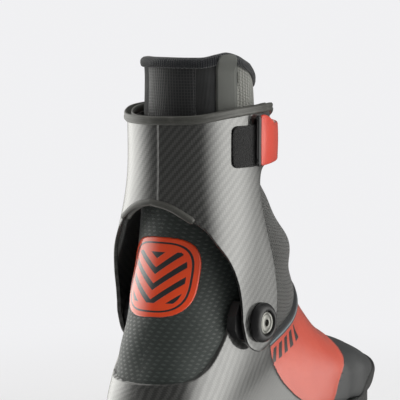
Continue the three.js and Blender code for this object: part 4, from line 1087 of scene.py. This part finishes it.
# A rounded slab wrapped on the cuff between two angles; low and high are its edges' heights.
def slab(name, node, body, start, stop, lowAt, highAt, inner, outer, count, finish, slotName, corner=2.0,
         bulge=None, puff=0.0):
    angle = np.linspace(start, stop, count)
    mm = np.radians(np.abs(angle - start)) * wrapRadius
    total = mm[-1]
    fromEnd = np.minimum(mm, total - mm)
    inset = corner - np.sqrt(np.maximum(corner ** 2 - np.maximum(corner - fromEnd, 0) ** 2, 0.01))
    low, high = lowAt(angle) + inset, highAt(angle) - inset
    thick = outer - inner
    r = thick / 2
    turn = np.linspace(-math.pi / 2, math.pi / 2, 7)
    across = 22
    shareRow = np.concatenate([np.zeros(7), np.linspace(0, 1, across)[1:-1], np.ones(7),
                               np.linspace(1, 0, across)[1:-1]])
    outRow = np.concatenate([r + r * np.sin(turn), np.full(across - 2, 2 * r),
                             r + r * np.sin(-turn), np.zeros(across - 2)])
    zRow = np.concatenate([r * (1 - np.cos(turn)), np.zeros(across - 2), -r * (1 - np.cos(turn)),
                           np.zeros(across - 2)])
    z = low[:, None] + (high - low)[:, None] * shareRow[None] + zRow[None]
    crown = puff * np.sin(np.pi * shareRow)[None] * (outRow > r)[None] * smooth(0, 5, fromEnd)[:, None]
    endThin = np.sqrt(np.clip(1 - (1 - np.minimum(fromEnd / r, 1)) ** 2, 0.02, 1))[:, None]
    out = inner + r + (outRow[None] - r) * endThin + crown
    if bulge is not None:
        out = out + bulge(angle)[:, None]
    points = cuffPoint(angle[:, None] + 0 * z, z, out)
    edge = np.minimum(np.minimum(shareRow, 1 - shareRow)[None] * (high - low)[:, None],
                      fromEnd[:, None] + 0 * z)
    uv = np.stack([mm[:, None] + 0 * z, z], -1)
    uv = np.concatenate([uv, uv[:, :1]], 1)
    obj = tubeOf(name, points, uv, {"fromEdge": np.append(edge.ravel(), [0, 0])})
    return dress(obj, finish, slotName, body, node)


strapZ = lambda angle: strapLow + strapClimb * np.maximum(0, -np.cos(np.radians(angle)))
strapBulge = lambda angle: 3 * np.maximum(0, -np.cos(np.radians(angle)) - 0.45)


def strapTop(angle):
    turn = np.where(np.asarray(angle) > 0, np.asarray(angle) - 360, angle)
    return strapZ(angle) + strapWide - (strapWide - strapNeck) * smooth(97, 123, -turn)


strap = slab("strap_webbing", "cuff_strap", "strap", -93.4, 125.2 - 360, strapZ, strapTop, 2.5, 4.7,
             int(240 * fine), strapWeb, "strap", 2.5, strapBulge, 0.5)
slab("pull_tab_moulded", "strap_pull_tab", "strap", -89.6, -93.5, strapZ, strapTop, 2.2, 5.2, 24,
     blackPlastic, "black_plastic", 1.6)
slab("hook_pad", "strap_hook_pad", "strap", -95, -114, lambda a: strapZ(a) + 2, lambda a: strapTop(a) - 3,
     1.3, 2.2, 40, curls, "hook_loop", 1.5)
slab("loop_patch", "strap_loop_patch", "cuff", -68, -115, lambda a: strapZ(a),
     lambda a: rimHeight - 3.5 + 0 * a, 0.2, 1.3, 70, curls, "hook_loop", 4.5)
slab("anchor_plate", "strap_anchor_plate", "cuff", 108, 124.4, lambda a: strapZ(a) + 1,
     lambda a: strapTop(a) - 1, 0.3, 4.7, 48, blackPlastic, "black_plastic", 4)
print("cuff and strap", len(cuffShell.data.polygons), len(strap.data.polygons))


# ---- turned parts

# A turned piece: profile rows are (radius, height) along an axis from a point, closed at both ends.
def turned(name, node, body, centre, axis, profile, finish, slotName, segments):
    centre, axis = np.array(centre, float), unit(np.array(axis, float))
    helper = np.array([0, 0, 1.0]) if abs(axis[2]) < 0.9 else np.array([1.0, 0, 0])
    a = unit(np.cross(helper, axis))
    b = np.cross(axis, a)
    p = np.array(profile, float)
    turn = 2 * math.pi * np.arange(segments) / segments
    ring = a * np.cos(turn)[:, None] + b * np.sin(turn)[:, None]
    points = centre + p[:, None, 1:] * axis + p[:, None, :1] * ring[None]
    obj = meshOf(name, points, gridFaces(len(p), segments, loopCols=True))
    faceOut(obj, 1e-6, 0.6)
    return dress(obj, finish, slotName, body, node)


for side, name in ((1, "inner"), (-1, "outer")):
    hub, axis = (hingeX, 0, hingeZ), (0, side, 0)
    floorY = armOutside + 0.3
    turned("cap_" + name, "pivot_cap_" + name, "cuff", hub, axis,
           [[7.9, floorY], [12.6, floorY], [13, floorY + 0.5], [13, floorY + 2.2], [12.5, floorY + 3.6],
            [11.6, floorY + 4.8], [10.6, floorY + 5.6], [9.6, floorY + 6.0], [8.7, floorY + 5.9],
            [8.1, floorY + 5.4], [7.9, floorY + 4.8], [7.9, floorY]], blackPlastic, "black_plastic", 96)
    turned("screw_" + name, "pivot_screw_" + name, "boot", hub, axis,
           [[0, floorY - 10], [2.9, floorY - 10], [2.9, floorY], [7.5, floorY], [7.6, floorY + 4.0],
            [7.2, floorY + 4.5], [6.4, floorY + 4.8], [6.0, floorY + 4.7], [5.6, floorY + 4.4],
            [5.2, floorY + 4.7], [3.2, floorY + 4.9], [2.3, floorY + 4.7], [2.1, floorY + 4.2],
            [2.05, floorY + 2.6], [0, floorY + 2.4]], steelFinish, "steel", 96)
for height, name in ((0.73, "upper"), (0.27, "lower")):
    z = strapZ(115.0) + height * strapNeck
    foot0 = cuffPoint(115.0, z, -2.9)
    axis = unit(cuffPoint(115.0, z, 1) - cuffPoint(115.0, z, 0))
    turned("rivet_" + name, "strap_rivet_" + name, "cuff", foot0, axis,
           [[0, -0.3], [3.4, 0], [3.6, 0.4], [2, 0.6], [2, 7.8], [4.2, 7.9], [4.5, 8.3], [4.1, 9.0],
            [3, 9.5], [1.6, 9.7], [0, 9.75]], steelPlain, "steel", 48)
print("turned parts")


# ---- sole: a carbon plate and two rubber treads, on the same outline

soleHalf = through([(-heelReach, 9), (-heelReach + 5, 20), (-62, 29), (-45, 33.5), (0, 34.5), (40, 37),
                    (foot(0.4), 42.5), (foot(0.54), 45.5), (foot(0.68), 44.5), (foot(0.79), 39),
                    (foot(0.88), 30), (foot(0.95), 19), (toeReach, 7)])
soleMiddle = through([(-heelReach, 0), (0, 0), (40, 1), (80, 3), (foot(0.6), 4.5), (foot(0.85), 7),
                      (toeReach, 9)])
toeSpring = through([(-heelReach, 0), (foot(0.5), 0), (foot(0.56), 0), (foot(0.74), 1.2), (foot(0.88), 4),
                     (toeReach, 9)])


# A layer of the sole between x0 and x1: rows along the boot, each a closed ring across it with rounded
# edges; tread ribs are cut across its underside by raising it there.
def soleLayer(name, x0, x1, low, high, inset, radius, rows, finish, slotName, nodes, grooves=0.0,
              pitch=12.0, roundEnds=(8, 8)):
    eased = np.linspace(0, math.pi, rows)
    x = x0 + (x1 - x0) * (0.12 * (1 - np.cos(eased)) / 2 + 0.88 * np.linspace(0, 1, rows))
    endIn = np.minimum((x - x0) / roundEnds[0], (x1 - x) / roundEnds[1])
    pinch = np.sqrt(np.clip(1 - (1 - np.clip(endIn, 0, 1)) ** 2, 0.0004, 1))
    half = np.maximum((soleHalf(x) - inset) * (0.35 + 0.65 * pinch), 1.0)
    turn = np.linspace(0, math.pi / 2, 5)
    flatCount = 25
    across = np.linspace(-1, 1, flatCount)[1:-1]
    height = high(x) - low(x)
    r = np.minimum(radius, height / 2 - 0.1)[:, None]
    cx = half[:, None] - r
    lowZ, highZ = low(x)[:, None], high(x)[:, None]
    ringY = np.concatenate([cx * across[None], cx + r * np.sin(turn)[None], cx + r * np.cos(turn)[None],
                            -cx * across[None], -cx - r * np.sin(turn)[None], -cx - r * np.cos(turn)[None]],
                           1)
    ringZ = np.concatenate([lowZ + 0 * across[None], lowZ + r - r * np.cos(turn)[None],
                            highZ - r + r * np.sin(turn)[None], highZ + 0 * across[None],
                            highZ - r + r * np.cos(turn)[None], lowZ + r - r * np.sin(turn)[None]], 1)
    if grooves:
        under = smooth(highZ - 1, lowZ + 1.5, ringZ) * smooth(5, 8, np.abs(ringY))
        grooveShade = (1 - smooth(0.10, 0.16, np.abs((x / pitch) % 1 - 0.5))) * smooth(4, 9, np.minimum(x - x0, x1 - x))
        ringZ = ringZ + grooves * under * grooveShade[:, None]
    ring = np.stack([x[:, None] + 0 * ringY, soleMiddle(x)[:, None] + ringY, ringZ], -1)
    k = ring.shape[1]
    around = np.linspace(0, 180, k + 1)[None]
    uv = np.stack(np.broadcast_arrays(x[:, None], around), -1)
    obj = tubeOf(name, ring, uv)
    faceOut(obj)
    return dress(obj, finish, slotName, "boot", *nodes)


treadThickness = 7.0
plateLow = lambda x: toeSpring(x) + treadThickness + 0.3
plateHigh = lambda x: toeSpring(x) + upperBottom + 2
soleLayer("sole_plate", -heelReach, toeReach - 0.3, plateLow, plateHigh, 0.3, 1.8, 200, carbon, "carbon",
                       ["sole_frame"], roundEnds=(5, 5))
soleLayer("fore_tread", foot(0.3), toeReach, toeSpring, lambda x: toeSpring(x) + treadThickness, 1.0, 1.6,
          320, darkRubber, "tread", ["outsole_forefoot"], 3.2, 13.0, (6, 5))
soleLayer("heel_tread", -heelReach, -12, toeSpring, lambda x: toeSpring(x) + treadThickness, 1.0, 1.6, 180,
                      darkRubber, "tread", ["outsole_heel"], 3.2, 13.0, (6, 5))
print("sole")

# ---- CAD solids that keep their shape

kept = {"toe_bar_housing": blackPlastic, "toe_bar": steelPlain, "pivot_nut_inner": steelPlain,
        "pivot_nut_outer": steelPlain, "pivot_bushing_inner": steelPlain, "pivot_bushing_outer": steelPlain,
        "pivot_spacer_inner": blackPlastic, "pivot_spacer_outer": blackPlastic, "insole_board": boardFibre,
        "footbed": liningCloth, "lace_stay_inner": softshell, "lace_stay_outer": softshell,
        "lace": bindingKnit, "zip_slider": steelPlain, "zip_pull": steelPlain, "cuff_pad": liningCloth}
for node, finish in kept.items():
    solid = bpy.data.objects.get(node)
    solid.data.materials.clear()
    solid.data.materials.append(finish)
print("kept solids")
